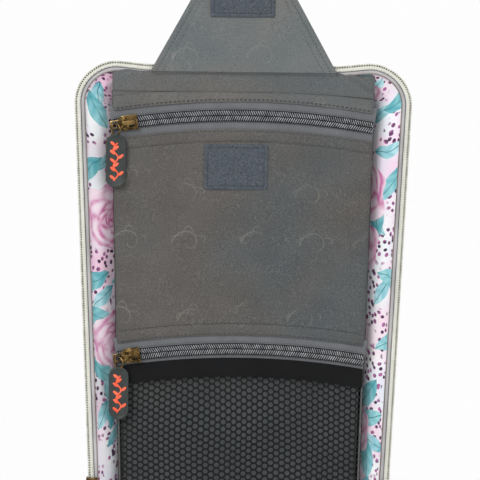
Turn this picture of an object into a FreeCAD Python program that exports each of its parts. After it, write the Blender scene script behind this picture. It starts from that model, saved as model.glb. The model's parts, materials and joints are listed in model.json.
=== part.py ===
import FreeCAD, Part
import math
import os
import Sketcher

# Hanging toiletry bag, open and hanging from its flap.
# Origin: middle of the flap's fold line. +Z up, the open side faces -Y, and y = 0 is the plane
# on which the two halves of the case meet when it is zipped shut.

doc = FreeCAD.newDocument("ToiletryBag")
sizes = doc.addObject("Spreadsheet::Sheet", "Sizes")

VALUES = {
    # case outline, measured on the centre line of the perimeter zip's teeth
    "rim_half": 101.5,          # half width at the flap's fold line
    "rim_taper": 0.0393,        # loss of half width per millimetre downwards
    "rim_rise": 6,              # top of the zip above the fold line
    "half_length": 280,         # fold line to the spine
    "corner_radius": 25,
    "back_corner_radius": 12,
    "case_depth": 34,           # closing plane to the outer face of one half
    "spine_gap": 1,             # each half to the spine's axis
    # perimeter zip
    "rim_offset": 4,            # closing plane to the middle of the zip tape
    "teeth_size": 2.2,
    "rim_tape_width": 6,
    "rim_tape_thick": 0.8,
    # walls
    "gusset_lap": 1,            # gusset tucked under the zip tape
    "gusset_thick": 1.5,
    "flare": 8.3,               # rim outline to back outline, per side
    "back_thick": 1.6,
    "edge_round": 0.9,
    "round_share": 0.6,         # most of the panel's thickness that its rounding takes
    "board_thick": 1.2,
    "board_inset": 3,
    "binding_width": 2.6,
    "binding_thick": 1.2,
    "binding_gap": 0.9,
    "cut_through": 1,           # how far a cutting shape runs past the face it opens
    # organiser
    "panel_inset": 21.5,        # perimeter zip to the organiser's edge, at the fold line
    "panel_taper": 0.0232,
    "panel_top": 4.4,           # top edge below the fold line
    "cloth": 1.2,               # doubled lining fabric
    "seam_tuck": 2,             # zip ends tucked into the side seams
    "organiser_gap": 2.2,       # organiser's back to the board behind it
    "divider_depth": 12,
    "side_top": 12,
    "foot_gap": 0.3,
    # pocket zips
    "zip_arc": 469,             # radius of the upward bow of both pocket zips
    "zip1_drop": 26.3,
    "zip2_drop": 169,
    "window_half": 8.5,         # coil centre to the facing's edge
    "zip_tape_half": 12,
    "trim_offset": 5.6,         # lower zip's coil centre to the black trim
    "zip_gap": 1,               # between the two coils, for the slider's blade
    "coil_width": 2.5,
    "coil_thick": 1.6,
    "zip_tape_thick": 0.6,
    "zip1_stop": 9.8898,        # slider's middle to the organiser's edge, at its stop
    "zip2_stop": 9.0792,
    # slider
    "slider_half": 5.8,
    "slider_wide": 4.9,
    "slider_plate": 1.2,
    "plate_gap": 0.6,
    "flange_wide": 1.2,
    "flange_gap": 0.4,
    "blade_gap": 0.3,
    "back_plate": 1,
    "bridge_half": 2.6,
    "bridge_wide": 2.4,
    "bridge_bar": 1,
    "bridge_room": 2.1,
    # puller link
    "link_axis": 0.8,           # link pin in front of the slider's plate
    "link_thick": 0.8,
    "link_half": 2.7,
    "link_arm": 1,
    "link_end": 10.8,
    "link_pin": 0.5,
    # ring and tab
    "ring_place": 7.2,
    "ring_lift": 0.3,
    "ring_radius": 3.4,
    "ring_wire": 0.5,
    "ring_tilt": 38,
    "tab_width": 12,
    "tab_length": 32.5,
    "tab_thick": 2.6,
    "tab_top": 5.9,
    "tab_rim": 1.2,
    "tab_face": 0.4,
    "tab_eye": 2.4,
    # hook-and-loop patches
    "patch_width": 38,
    "patch_height": 27,
    "patch_thick": 1.4,
    "patch_drop": 44,
    "patch_shift": -4,
    # mesh pocket
    "trim_width": 11.5,
    "mesh_thick": 0.8,
    "mesh_lap": 0.4,
    "mesh_room": 2,
    "hem_width": 8,
    # flap
    "flap_half": 56,
    "flap_tip_half": 23,
    "flap_side": 59,
    "flap_length": 80,
    "flap_thick": 2,
    "flap_round": 12,
    "tip_share": 0.9,           # most of the tip's half width that its corners take
    "flap_patch_low": 33,
    "flap_patch_height": 40,
    "flap_patch_shift": -1,
    "anchor_gap": 0.5,
    "anchor_thick": 1.8,
    "anchor_rise": 1,
    "anchor_fall": 12,
    # tray in the lower half
    "tray_mesh_depth": 16,
    "tray_mouth": 52,           # open end of the tray's mesh pocket
    "elastic_wide": 7,
    "elastic_thick": 2,
    "wall_gap": 0.4,
    # perimeter sliders
    "main_height": 25,          # slider's middle above the spine
    "main_half": 6,
    "main_plate": 1,
    "main_gap": 0.3,
    "main_inner": 5,
    "main_web": 0.9,
    "main_bridge": 2.4,         # half length of the bridge
    "main_bridge_wide": 1.8,
    "main_bar": 0.8,
    "main_room": 1.5,
    "main_pin_half": 2.6,
    "main_pin": 0.4,
    "main_arm": 1,
    "main_pull": 15,
    "main_pull_half": 3,
    "main_paddle_top": 6,
    # spine
    "spine_pin": 0.6,
    "spine_inset": 3,
    "spine_web": 0.6,
}

for row, (alias, number) in enumerate(VALUES.items(), start=1):
    sizes.set("A%d" % row, alias)
    sizes.set("B%d" % row, str(number))
    sizes.setAlias("B%d" % row, alias)
doc.recompute()


def expand(text):
    """Puts the sheet's name before every alias, so an expression can be written in plain words."""
    words = []
    word = ""
    for letter in text + " ":
        if letter.isalnum() or letter == "_":
            word += letter
            continue
        words.append("Sizes." + word if word in VALUES else word)
        words.append(letter)
        word = ""
    return "".join(words).strip()


def value(text):
    number = sizes.evalExpression(expand(text))
    return float(getattr(number, "Value", number))


def bind(item, prop, text):
    item.setExpression(prop, expand(text))


parts = {}


def keep(item, label):
    item.Label = label
    parts[label] = item
    return item


# shared expressions
TAPE_BACK = "(rim_offset + rim_tape_thick/2)"
CLOTH_BACK = "(rim_offset + rim_tape_thick/2 + cloth)"
ZIP_BACK = "(rim_offset + rim_tape_thick/2 + cloth + zip_tape_thick)"
COIL_FRONT = "(rim_offset + rim_tape_thick/2 + cloth - coil_thick)"
BOARD_BACK = "(case_depth - back_thick)"
ORGANISER_DEPTH = "(" + BOARD_BACK + " - board_thick - organiser_gap - " + CLOTH_BACK + ")"
GUSSET_OUT = "(teeth_size/2 + rim_tape_width - gusset_lap)"
RIM_ROUND = "corner_radius - teeth_size"
HINGE_Z = "(-half_length - spine_gap)"
PLATE_Y = "(rim_offset + rim_tape_thick/2 + cloth - coil_thick - plate_gap - slider_plate)"
LINK_Y = "(rim_offset + rim_tape_thick/2 + cloth - coil_thick - plate_gap - slider_plate - link_axis)"


# sketch helpers
def body_with_plane(label, plane_role="XZ_Plane"):
    body = keep(doc.addObject("PartDesign::Body", label), label)
    plane = [item for item in body.Origin.OriginFeatures if item.Role == plane_role][0]
    return body, plane


def sketch_on(body, plane, name, back):
    """A sketch on the front plane, moved back along +Y to the face it draws."""
    sketch = body.newObject("Sketcher::SketchObject", name)
    sketch.AttachmentSupport = [(plane, "")]
    sketch.MapMode = "FlatFace"
    bind(sketch, ".AttachmentOffset.Base.z", "-1*(%s)" % back)
    return sketch


def hold(sketch, kind, items, text):
    """A driven dimension of the sketch."""
    number = value(text)
    if kind == "Angle":
        number = math.radians(number)
    index = sketch.addConstraint(Sketcher.Constraint(kind, *items, number))
    bind(sketch, "Constraints[%d]" % index, text)
    return index


def pin(sketch, geometry, point, x, z):
    hold(sketch, "DistanceX", (-1, 1, geometry, point), x)
    hold(sketch, "DistanceY", (-1, 1, geometry, point), z)


def polygon(sketch, corners):
    """Closed outline whose every corner is placed by two expressions."""
    points = [FreeCAD.Vector(value(x), value(z), 0) for x, z in corners]
    count = len(points)
    for index in range(count):
        sketch.addGeometry(Part.LineSegment(points[index], points[(index + 1) % count]), False)
    for index in range(count):
        after = (index + 1) % count
        sketch.addConstraint(Sketcher.Constraint("Coincident", index, 2, after, 1))
    for index, (x, z) in enumerate(corners):
        pin(sketch, index, 1, x, z)


def outline(sketch, inset, foot, radius):
    """Case outline: straight foot, leaning sides, two tangent top corners."""
    half = value("rim_half - (%s)" % inset)
    lean = value("rim_taper")
    low = value(foot)
    high = value("rim_rise - (%s)" % inset)
    turn = value(radius)
    slope = math.hypot(1, lean)
    centre_z = high - turn
    centre_x = half + lean * centre_z - turn * slope
    side_x = centre_x + turn / slope
    side_z = centre_z - turn * lean / slope
    foot_x = half + lean * low
    tilt = math.atan(lean)
    centre = FreeCAD.Vector(centre_x, centre_z, 0)
    mirror = FreeCAD.Vector(-centre_x, centre_z, 0)
    up = FreeCAD.Vector(0, 0, 1)
    segments = [
        Part.LineSegment(FreeCAD.Vector(-foot_x, low, 0), FreeCAD.Vector(foot_x, low, 0)),
        Part.LineSegment(FreeCAD.Vector(foot_x, low, 0), FreeCAD.Vector(side_x, side_z, 0)),
        Part.ArcOfCircle(Part.Circle(centre, up, turn), -tilt, math.pi / 2),
        Part.LineSegment(FreeCAD.Vector(centre_x, high, 0), FreeCAD.Vector(-centre_x, high, 0)),
        Part.ArcOfCircle(Part.Circle(mirror, up, turn), math.pi / 2, math.pi + tilt),
        Part.LineSegment(FreeCAD.Vector(-side_x, side_z, 0), FreeCAD.Vector(-foot_x, low, 0)),
    ]
    for segment in segments:
        sketch.addGeometry(segment, False)
    sketch.addConstraint(Sketcher.Constraint("Coincident", 0, 2, 1, 1))
    sketch.addConstraint(Sketcher.Constraint("Coincident", 5, 2, 0, 1))
    for first, second in ((1, 2), (2, 3), (3, 4), (4, 5)):
        sketch.addConstraint(Sketcher.Constraint("Tangent", first, 2, second, 1))
    sketch.addConstraint(Sketcher.Constraint("Symmetric", 0, 1, 0, 2, -2))
    sketch.addConstraint(Sketcher.Constraint("Symmetric", 3, 1, 3, 2, -2))
    sketch.addConstraint(Sketcher.Constraint("Equal", 2, 4))
    pin(sketch, 0, 2, "rim_half - (%s) + rim_taper*(%s)" % (inset, foot), foot)
    hold(sketch, "DistanceY", (-1, 1, 3, 1), "rim_rise - (%s)" % inset)
    hold(sketch, "Radius", (2,), radius)
    hold(sketch, "Angle", (1,), "90 - atan(rim_taper)/1deg")


def arc_edge(sketch, centre_z, radius, half):
    """An edge of a bowed strip, on the circle that the zip slider also follows."""
    size = value(radius)
    reach = math.asin(value(half) / size)
    centre = FreeCAD.Vector(0, value(centre_z), 0)
    circle = Part.Circle(centre, FreeCAD.Vector(0, 0, 1), size)
    index = sketch.addGeometry(Part.ArcOfCircle(circle, math.pi / 2 - reach, math.pi / 2 + reach), False)
    sketch.addConstraint(Sketcher.Constraint("PointOnObject", index, 3, -2))
    hold(sketch, "DistanceY", (-1, 1, index, 3), centre_z)
    hold(sketch, "Radius", (index,), radius)
    hold(sketch, "DistanceX", (-1, 1, index, 1), half)
    hold(sketch, "DistanceX", (index, 2, -1, 1), half)
    return index


def straight_edge(sketch, z, half):
    index = sketch.addGeometry(Part.LineSegment(
        FreeCAD.Vector(value(half), value(z), 0), FreeCAD.Vector(-value(half), value(z), 0)), False)
    pin(sketch, index, 1, half, z)
    sketch.addConstraint(Sketcher.Constraint("Symmetric", index, 1, index, 2, -2))
    return index


def pad(body, sketch, thickness):
    """Pads a sketch forwards, towards -Y."""
    feature = body.newObject("PartDesign::Pad", sketch.Name + "Pad")
    feature.Profile = sketch
    bind(feature, "Length", thickness)
    sketch.Visibility = False
    return feature


def strip(label, top, bottom, back, thickness):
    """A strip across the organiser. An edge is straight, (z, half), or bowed, (offset, half, zip)."""
    body, plane = body_with_plane(label)
    sketch = sketch_on(body, plane, label + "Outline", back)
    edges = []
    for edge in (top, bottom):
        if len(edge) == 2:
            edges.append(straight_edge(sketch, edge[0], edge[1]))
            continue
        offset, half, drop = edge
        centre = "-1*%s - zip_arc" % drop
        edges.append(arc_edge(sketch, centre, "zip_arc + (%s)" % offset, half))
    for side in (1, 2):
        points = [sketch.getPoint(edge, side) for edge in edges]
        line = sketch.addGeometry(Part.LineSegment(points[0], points[1]), False)
        sketch.addConstraint(Sketcher.Constraint("Coincident", edges[0], side, line, 1))
        sketch.addConstraint(Sketcher.Constraint("Coincident", edges[1], side, line, 2))
    pad(body, sketch, thickness)
    return body


def box(name, x, y, z):
    """A block between the given pairs of expressions."""
    block = doc.addObject("Part::Box", name)
    for prop, pair in (("Length", x), ("Width", y), ("Height", z)):
        bind(block, prop, "(%s) - (%s)" % (pair[1], pair[0]))
    for axis, pair in (("x", x), ("y", y), ("z", z)):
        bind(block, ".Placement.Base." + axis, pair[0])
    return block


def rod(name, radius, start, length, axis, angle):
    bar = doc.addObject("Part::Cylinder", name)
    bar.Placement = FreeCAD.Placement(FreeCAD.Vector(), FreeCAD.Rotation(axis, angle))
    bind(bar, "Radius", radius)
    bind(bar, "Height", length)
    for name_of_axis, text in zip("xyz", start):
        bind(bar, ".Placement.Base." + name_of_axis, text)
    return bar


def fuse(label, pieces):
    joined = keep(doc.addObject("Part::MultiFuse", label), label)
    joined.Shapes = pieces
    return joined


Y_AXIS = FreeCAD.Vector(0, 1, 0)
X_AXIS = FreeCAD.Vector(1, 0, 0)


def place(item, x, y, z, angle=None):
    """Places a finished piece, turned about Y where an angle is given."""
    if angle is not None:
        item.Placement = FreeCAD.Placement(FreeCAD.Vector(), FreeCAD.Rotation(Y_AXIS, value(angle)))
        bind(item, ".Placement.Rotation.Angle", angle)
    for axis, text in zip("xyz", (x, y, z)):
        bind(item, ".Placement.Base." + axis, text)


# the two halves of the case
def case_half(prefix, panel):
    """Panel, board, gusset, zip and binding. Returns the pieces, modelled in the upper half's place."""
    made = []
    foot = "-1*half_length"

    body, plane = body_with_plane(prefix + panel)
    sketch = sketch_on(body, plane, prefix + "PanelOutline", "case_depth")
    outline(sketch, GUSSET_OUT + " + flare", foot, "back_corner_radius")
    feature = pad(body, sketch, "back_thick")
    doc.recompute()
    rear = value("case_depth")
    edges = []
    for index, edge in enumerate(feature.Shape.Edges, start=1):
        bounds = edge.BoundBox
        if bounds.YMin > rear - 0.01 and bounds.ZMax > value(foot) + 0.01:
            edges.append("Edge%d" % index)
    rounded = body.newObject("PartDesign::Fillet", prefix + "PanelRound")
    rounded.Base = (feature, edges)
    bind(rounded, "Radius", "min(edge_round; back_thick*round_share)")
    made.append(body)

    body, plane = body_with_plane(prefix + "stiffener")
    sketch = sketch_on(body, plane, prefix + "BoardOutline", BOARD_BACK)
    outline(sketch, GUSSET_OUT + " + flare + board_inset", foot + " + board_inset",
            "back_corner_radius")
    pad(body, sketch, "board_thick")
    made.append(body)

    body, plane = body_with_plane(prefix + "gusset")
    profiles = []
    for name, extra, low in (("Outer", "0", foot), ("Inner", "gusset_thick", foot + " + gusset_thick")):
        rim = sketch_on(body, plane, prefix + name + "Rim", TAPE_BACK)
        outline(rim, GUSSET_OUT + " + " + extra, low, RIM_ROUND)
        back = sketch_on(body, plane, prefix + name + "Back", BOARD_BACK)
        outline(back, GUSSET_OUT + " + flare + " + extra, low, "back_corner_radius")
        profiles.append((rim, back))
    wall = body.newObject("PartDesign::AdditiveLoft", prefix + "Wall")
    wall.Profile = profiles[0][0]
    wall.Sections = [profiles[0][1]]
    wall.Ruled = True
    hollow = body.newObject("PartDesign::SubtractiveLoft", prefix + "Hollow")
    hollow.Profile = profiles[1][0]
    hollow.Sections = [profiles[1][1]]
    hollow.Ruled = True
    made.append(body)

    bands = (
        ("zip_teeth", "-1*teeth_size/2", "teeth_size", "rim_offset + teeth_size/2", "teeth_size",
         "corner_radius + teeth_size/2"),
        ("zip_tape", "teeth_size/2", "rim_tape_width", TAPE_BACK, "rim_tape_thick",
         "corner_radius - teeth_size/2"),
        ("binding", GUSSET_OUT + " + gusset_thick + binding_gap", "binding_width",
         CLOTH_BACK + " + binding_thick", "binding_thick", RIM_ROUND),
    )
    for name, outer, width, back, thickness, turn in bands:
        body, plane = body_with_plane(prefix + name)
        sketch = sketch_on(body, plane, prefix + name + "Outer", back)
        low = foot if name != "binding" else foot + " + gusset_thick + binding_gap"
        outline(sketch, outer, low, turn)
        pad(body, sketch, thickness)
        cut = sketch_on(body, plane, prefix + name + "Inner", back)
        outline(cut, outer + " + " + width, foot + " - cut_through", turn + " - " + width)
        opening = body.newObject("PartDesign::Pocket", prefix + name + "Opening")
        opening.Profile = cut
        opening.Reversed = True
        bind(opening, "Length", thickness + " + cut_through")
        made.append(body)
    return made


upper = case_half("upper_", "back_panel")
lower = case_half("lower_", "cover_panel")


# organiser in the upper half
def half_at(drop):
    """Half width of the organiser's front at a drop below the fold line."""
    return "(rim_half - panel_inset - panel_taper*(%s))" % drop


def zip_row(prefix, drop):
    """Two tapes and two coil halves of one pocket zip, either side of a gap for the slider."""
    inner = half_at(drop) + " - seam_tuck"
    for side, sign in (("upper", ""), ("lower", "-1*")):
        rows = (
            ("tape", "zip_tape_half", ZIP_BACK, "zip_tape_thick"),
            ("coil", "(zip_gap/2 + coil_width)", CLOTH_BACK, "coil_thick"),
        )
        for name, reach, back, thickness in rows:
            near = (sign + "zip_gap/2", inner, drop)
            far = (sign + reach, inner, drop)
            label = "%s_%s_%s" % (prefix, name, side)
            strip(label, *((far, near) if side == "upper" else (near, far)), back, thickness)


zip_row("zip1", "zip1_drop")
zip_row("zip2", "zip2_drop")
TRIM_LOW = "-1*(trim_offset + trim_width)"
MESH_TOP = "-1*(zip_tape_half + mesh_lap)"
PANEL_FOOT = "(half_length - gusset_thick - foot_gap)"
strip("top_facing",
      ("-1*panel_top", half_at("panel_top")),
      ("window_half", half_at("zip1_drop - window_half"), "zip1_drop"),
      CLOTH_BACK, "cloth")
strip("pocket_panel",
      ("-1*window_half", half_at("zip1_drop + window_half"), "zip1_drop"),
      ("window_half", half_at("zip2_drop - window_half"), "zip2_drop"),
      CLOTH_BACK, "cloth")
strip("mesh_trim",
      ("-1*trim_offset", half_at("zip2_drop + trim_offset"), "zip2_drop"),
      (TRIM_LOW, half_at("zip2_drop + trim_offset + trim_width"), "zip2_drop"),
      CLOTH_BACK, "cloth")
strip("mesh_panel",
      (MESH_TOP, half_at("zip2_drop + zip_tape_half + mesh_lap") + " - seam_tuck", "zip2_drop"),
      ("-1*" + PANEL_FOOT, half_at(PANEL_FOOT) + " - seam_tuck"),
      CLOTH_BACK + " + mesh_thick", "mesh_thick")
strip("mesh_hem",
      ("hem_width - " + PANEL_FOOT, half_at(PANEL_FOOT + " - hem_width")),
      ("-1*" + PANEL_FOOT, half_at(PANEL_FOOT)),
      CLOTH_BACK, "cloth")
LINING_FRONT = "(" + CLOTH_BACK + " + mesh_thick + mesh_room)"
strip("mesh_lining",
      ("-1*zip2_drop", half_at("zip2_drop") + " - seam_tuck"),
      ("-1*" + PANEL_FOOT, half_at(PANEL_FOOT) + " - seam_tuck"),
      LINING_FRONT + " + cloth", "cloth")
for label, depth in (("pocket_divider", "divider_depth"), ("organiser_backing", ORGANISER_DEPTH)):
    strip(label,
          ("-1*side_top", half_at("side_top") + " - seam_tuck"),
          ("-1*" + PANEL_FOOT, half_at(PANEL_FOOT) + " - seam_tuck"),
          CLOTH_BACK + " + " + depth, "cloth")


def side_wall(label, sign):
    body, plane = body_with_plane(label)
    sketch = sketch_on(body, plane, label + "Outline", CLOTH_BACK + " + " + ORGANISER_DEPTH)
    corners = []
    rows = (("side_top", ""), (PANEL_FOOT, ""), (PANEL_FOOT, " - cloth"), ("side_top", " - cloth"))
    for drop, inset in rows:
        corners.append((sign + "(" + half_at(drop) + inset + ")", "-1*" + drop))
    polygon(sketch, corners)
    pad(body, sketch, ORGANISER_DEPTH)


side_wall("organiser_side_left", "-1*")
side_wall("organiser_side_right", "1*")

PATCH_Y = (TAPE_BACK + " - patch_thick", TAPE_BACK)
keep(box("panel_patch",
         ("patch_shift - patch_width/2", "patch_shift + patch_width/2"),
         PATCH_Y,
         ("-1*patch_drop - patch_height", "-1*patch_drop")), "panel_patch")


# pocket sliders, links, rings, tabs
def stadium(sketch, half, top, foot):
    """Round-ended outline centred on the Z axis."""
    radius = value(half)
    high = value(top) - radius
    low = value(foot) + radius
    up = FreeCAD.Vector(0, 0, 1)
    segments = [
        Part.LineSegment(FreeCAD.Vector(radius, low, 0), FreeCAD.Vector(radius, high, 0)),
        Part.ArcOfCircle(Part.Circle(FreeCAD.Vector(0, high, 0), up, radius), 0, math.pi),
        Part.LineSegment(FreeCAD.Vector(-radius, high, 0), FreeCAD.Vector(-radius, low, 0)),
        Part.ArcOfCircle(Part.Circle(FreeCAD.Vector(0, low, 0), up, radius), math.pi, 2 * math.pi),
    ]
    for segment in segments:
        sketch.addGeometry(segment, False)
    for first, second in ((0, 1), (1, 2), (2, 3), (3, 0)):
        sketch.addConstraint(Sketcher.Constraint("Tangent", first, 2, second, 1))
    for arc, z in ((1, "(%s) - (%s)" % (top, half)), (3, "(%s) + (%s)" % (foot, half))):
        sketch.addConstraint(Sketcher.Constraint("PointOnObject", arc, 3, -2))
        hold(sketch, "DistanceY", (-1, 1, arc, 3), z)
    hold(sketch, "Radius", (1,), half)


PLATE_BACK = "(" + PLATE_Y + " + slider_plate)"
BACK_PLATE_Y = "(" + ZIP_BACK + " + plate_gap)"
BLADE = "(zip_gap/2 - blade_gap)"


def pocket_pull(prefix):
    """Slider, link, ring and tab at the left end of a pocket zip."""
    reach = "(%s - %s_stop)" % (half_at(prefix + "_drop"), prefix)
    angle = "-1*asin(%s/zip_arc)/1deg" % reach
    slide_x = "-1*" + reach
    slide_z = "sqrt(zip_arc^2 - %s^2) - zip_arc - %s_drop" % (reach, prefix)

    pieces = [box(prefix + "Plate", ("-1*slider_half", "slider_half"), (PLATE_Y, PLATE_BACK),
                  ("-1*slider_wide", "slider_wide"))]
    flange_y = (PLATE_BACK + " - slider_plate/2", CLOTH_BACK + " - flange_gap")
    pieces.append(box(prefix + "FlangeUp", ("-1*slider_half", "slider_half"), flange_y,
                      ("slider_wide - flange_wide", "slider_wide")))
    pieces.append(box(prefix + "FlangeDown", ("-1*slider_half", "slider_half"), flange_y,
                      ("-1*slider_wide", "flange_wide - slider_wide")))
    pieces.append(box(prefix + "Blade", ("-1*slider_half/2", "slider_half/2"),
                      (PLATE_Y, BACK_PLATE_Y + " + back_plate/2"), ("-1*" + BLADE, BLADE)))
    pieces.append(box(prefix + "BackPlate", ("-1*slider_half", "slider_half"),
                      (BACK_PLATE_Y, BACK_PLATE_Y + " + back_plate"),
                      ("-1*slider_wide", "slider_wide")))
    roof = PLATE_Y + " - bridge_room"
    pieces.append(box(prefix + "Roof", ("-1*bridge_half", "bridge_half"), (roof + " - bridge_bar", roof),
                      ("-1*bridge_wide/2", "bridge_wide/2")))
    for end, inner, outer in (("Left", "-1*bridge_half", "bridge_bar - bridge_half"),
                              ("Right", "bridge_half - bridge_bar", "bridge_half")):
        pieces.append(box(prefix + "Foot" + end, (inner, outer), (roof + " - bridge_bar", PLATE_BACK),
                          ("-1*bridge_wide/2", "bridge_wide/2")))
    place(fuse(prefix + "_slider", pieces), slide_x, "0", slide_z, angle)

    link_y = (LINK_Y + " - link_thick/2", LINK_Y + " + link_thick/2")
    pieces = [rod(prefix + "Pin", "link_pin", ("0", LINK_Y, "-1*link_half"), "2*link_half",
                  FreeCAD.Vector(0, 0, 1), 0)]
    pieces.append(box(prefix + "ArmUp", ("-1*link_end", "0"), link_y, ("link_half - link_arm", "link_half")))
    pieces.append(box(prefix + "ArmDown", ("-1*link_end", "0"), link_y,
                      ("-1*link_half", "link_arm - link_half")))
    pieces.append(box(prefix + "EndBar", ("-1*link_end", "link_arm - link_end"), link_y,
                      ("-1*link_half", "link_half")))
    place(fuse(prefix + "_link", pieces), slide_x, "0", slide_z, angle)

    # the ring hangs plumb from the link, its top on the joint's axis
    lean = reach + "/zip_arc"
    upright = "sqrt(1 - (%s)^2)" % lean
    pivot_x = "%s - ring_place*%s - ring_lift*%s" % (slide_x, upright, lean)
    pivot_z = "%s - ring_place*%s + ring_lift*%s" % (slide_z, lean, upright)
    body, plane = body_with_plane(prefix + "_ring", "XY_Plane")
    sketch = body.newObject("Sketcher::SketchObject", prefix + "RingWire")
    sketch.AttachmentSupport = [(plane, "")]
    sketch.MapMode = "FlatFace"
    centre = FreeCAD.Vector(value("ring_radius"), 0, 0)
    sketch.addGeometry(Part.Circle(centre, FreeCAD.Vector(0, 0, 1), value("ring_wire")), False)
    sketch.addConstraint(Sketcher.Constraint("PointOnObject", 0, 3, -1))
    hold(sketch, "DistanceX", (-1, 1, 0, 3), "ring_radius")
    hold(sketch, "Radius", (0,), "ring_wire")
    turn = body.newObject("PartDesign::Revolution", prefix + "RingTurn")
    turn.Profile = sketch
    turn.ReferenceAxis = (sketch, ["V_Axis"])
    turn.Angle = 360
    down = FreeCAD.Vector(0, 0, -1)
    body.Placement = FreeCAD.Placement(FreeCAD.Vector(), FreeCAD.Rotation(down, value("ring_tilt")))
    bind(body, ".Placement.Rotation.Angle", "ring_tilt")
    for axis, text in zip("xyz", (pivot_x, LINK_Y, pivot_z + " - ring_radius")):
        bind(body, ".Placement.Base." + axis, text)

    body, plane = body_with_plane(prefix + "_pull_tab")
    sketch = sketch_on(body, plane, prefix + "TabOutline", LINK_Y + " + tab_thick/2")
    stadium(sketch, "tab_width/2", "-1*tab_top", "-1*tab_top - tab_length")
    pad(body, sketch, "tab_thick")
    face = sketch_on(body, plane, prefix + "TabFace", LINK_Y + " - tab_thick/2 + tab_face")
    stadium(face, "tab_width/2 - tab_rim", "-1*tab_top - tab_rim - tab_eye",
            "-1*tab_top - tab_length + tab_rim")
    recess = body.newObject("PartDesign::Pocket", prefix + "TabRecess")
    recess.Profile = face
    bind(recess, "Length", "tab_face + cut_through")
    recess.Reversed = True
    place(body, pivot_x, "0", pivot_z)


pocket_pull("zip1")
pocket_pull("zip2")

# hanging flap
body, plane = body_with_plane("flap_panel")
sketch = sketch_on(body, plane, "FlapOutline", "flap_thick/2")
polygon(sketch, [
    ("-1*flap_half", "0"), ("flap_half", "0"), ("flap_tip_half", "flap_side"),
    ("flap_tip_half", "flap_length"), ("-1*flap_tip_half", "flap_length"),
    ("-1*flap_tip_half", "flap_side"),
])
feature = pad(body, sketch, "flap_thick")
doc.recompute()
corners = []
for index, edge in enumerate(feature.Shape.Edges, start=1):
    bounds = edge.BoundBox
    if bounds.ZMin > value("flap_length") - 0.01 and bounds.XLength < 0.01:
        corners.append("Edge%d" % index)
rounded = body.newObject("PartDesign::Fillet", "FlapCorners")
rounded.Base = (feature, corners)
bind(rounded, "Radius", "min(flap_round; flap_tip_half*tip_share)")

keep(box("flap_patch",
         ("flap_patch_shift - patch_width/2", "flap_patch_shift + patch_width/2"),
         ("-1*flap_thick/2 - patch_thick", "-1*flap_thick/2"),
         ("flap_patch_low", "flap_patch_low + flap_patch_height")), "flap_patch")

ANCHOR_Y = "(flap_thick/2 + anchor_gap)"
fuse("flap_anchor", [
    box("AnchorStrip", ("-1*flap_half", "flap_half"), (ANCHOR_Y, ANCHOR_Y + " + anchor_thick"),
        ("-1*anchor_fall", "anchor_rise")),
    box("AnchorSeam", ("-1*flap_half", "flap_half"), (ANCHOR_Y + " + anchor_thick/2", TAPE_BACK),
        ("-1*anchor_fall", "-1*panel_top - foot_gap")),
])

# tray in the lower half
foot = "-1*half_length"
body, plane = body_with_plane("lower_lining")
sketch = sketch_on(body, plane, "LiningOutline", BOARD_BACK + " - board_thick")
outline(sketch, GUSSET_OUT + " + flare + board_inset", foot + " + board_inset", "back_corner_radius")
pad(body, sketch, "cloth")
lower.append(body)

FLARE_SHARE = "(tray_mesh_depth + mesh_thick - %s)/(%s - %s)" % (TAPE_BACK, BOARD_BACK, TAPE_BACK)
MESH_INSET = "(" + GUSSET_OUT + " + gusset_thick + wall_gap + flare*" + FLARE_SHARE + ")"
TRAY_END = "(half_length - tray_mouth)"
body, plane = body_with_plane("lower_mesh_pocket")
sketch = sketch_on(body, plane, "TrayMeshOutline", "tray_mesh_depth + mesh_thick")
outline(sketch, MESH_INSET, "-1*" + TRAY_END, "corner_radius - %s/2" % MESH_INSET)
pad(body, sketch, "mesh_thick")
lower.append(body)

body, plane = body_with_plane("lower_mesh_elastic")
sketch = sketch_on(body, plane, "ElasticOutline", "tray_mesh_depth + elastic_thick")
ELASTIC_END = "(" + TRAY_END + " + elastic_wide)"
elastic_corners = []
for sign, drop in (("-1*", ELASTIC_END), ("", ELASTIC_END), ("", TRAY_END), ("-1*", TRAY_END)):
    reach = "(rim_half - rim_taper*%s - %s - wall_gap)" % (drop, MESH_INSET)
    elastic_corners.append((sign + reach, "-1*" + drop))
polygon(sketch, elastic_corners)
pad(body, sketch, "elastic_thick")
lower.append(body)

# the lower half is the upper half's outline turned over about the spine
for item in lower:
    place(item, "0", "0", "2*" + HINGE_Z, "180")


# perimeter sliders and their pulls
TEETH_FRONT = "(rim_offset - teeth_size/2)"
TEETH_BACK = "(rim_offset + teeth_size/2)"
MAIN_FRONT = "(" + TEETH_FRONT + " - main_gap - main_plate)"
MAIN_PIN_Y = "(" + MAIN_FRONT + " - main_room/2)"


def span(sign, near, far):
    """A pair of X expressions, mirrored for the left side."""
    if sign > 0:
        return (near, far)
    return ("-1*(%s)" % far, "-1*(%s)" % near)


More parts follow.
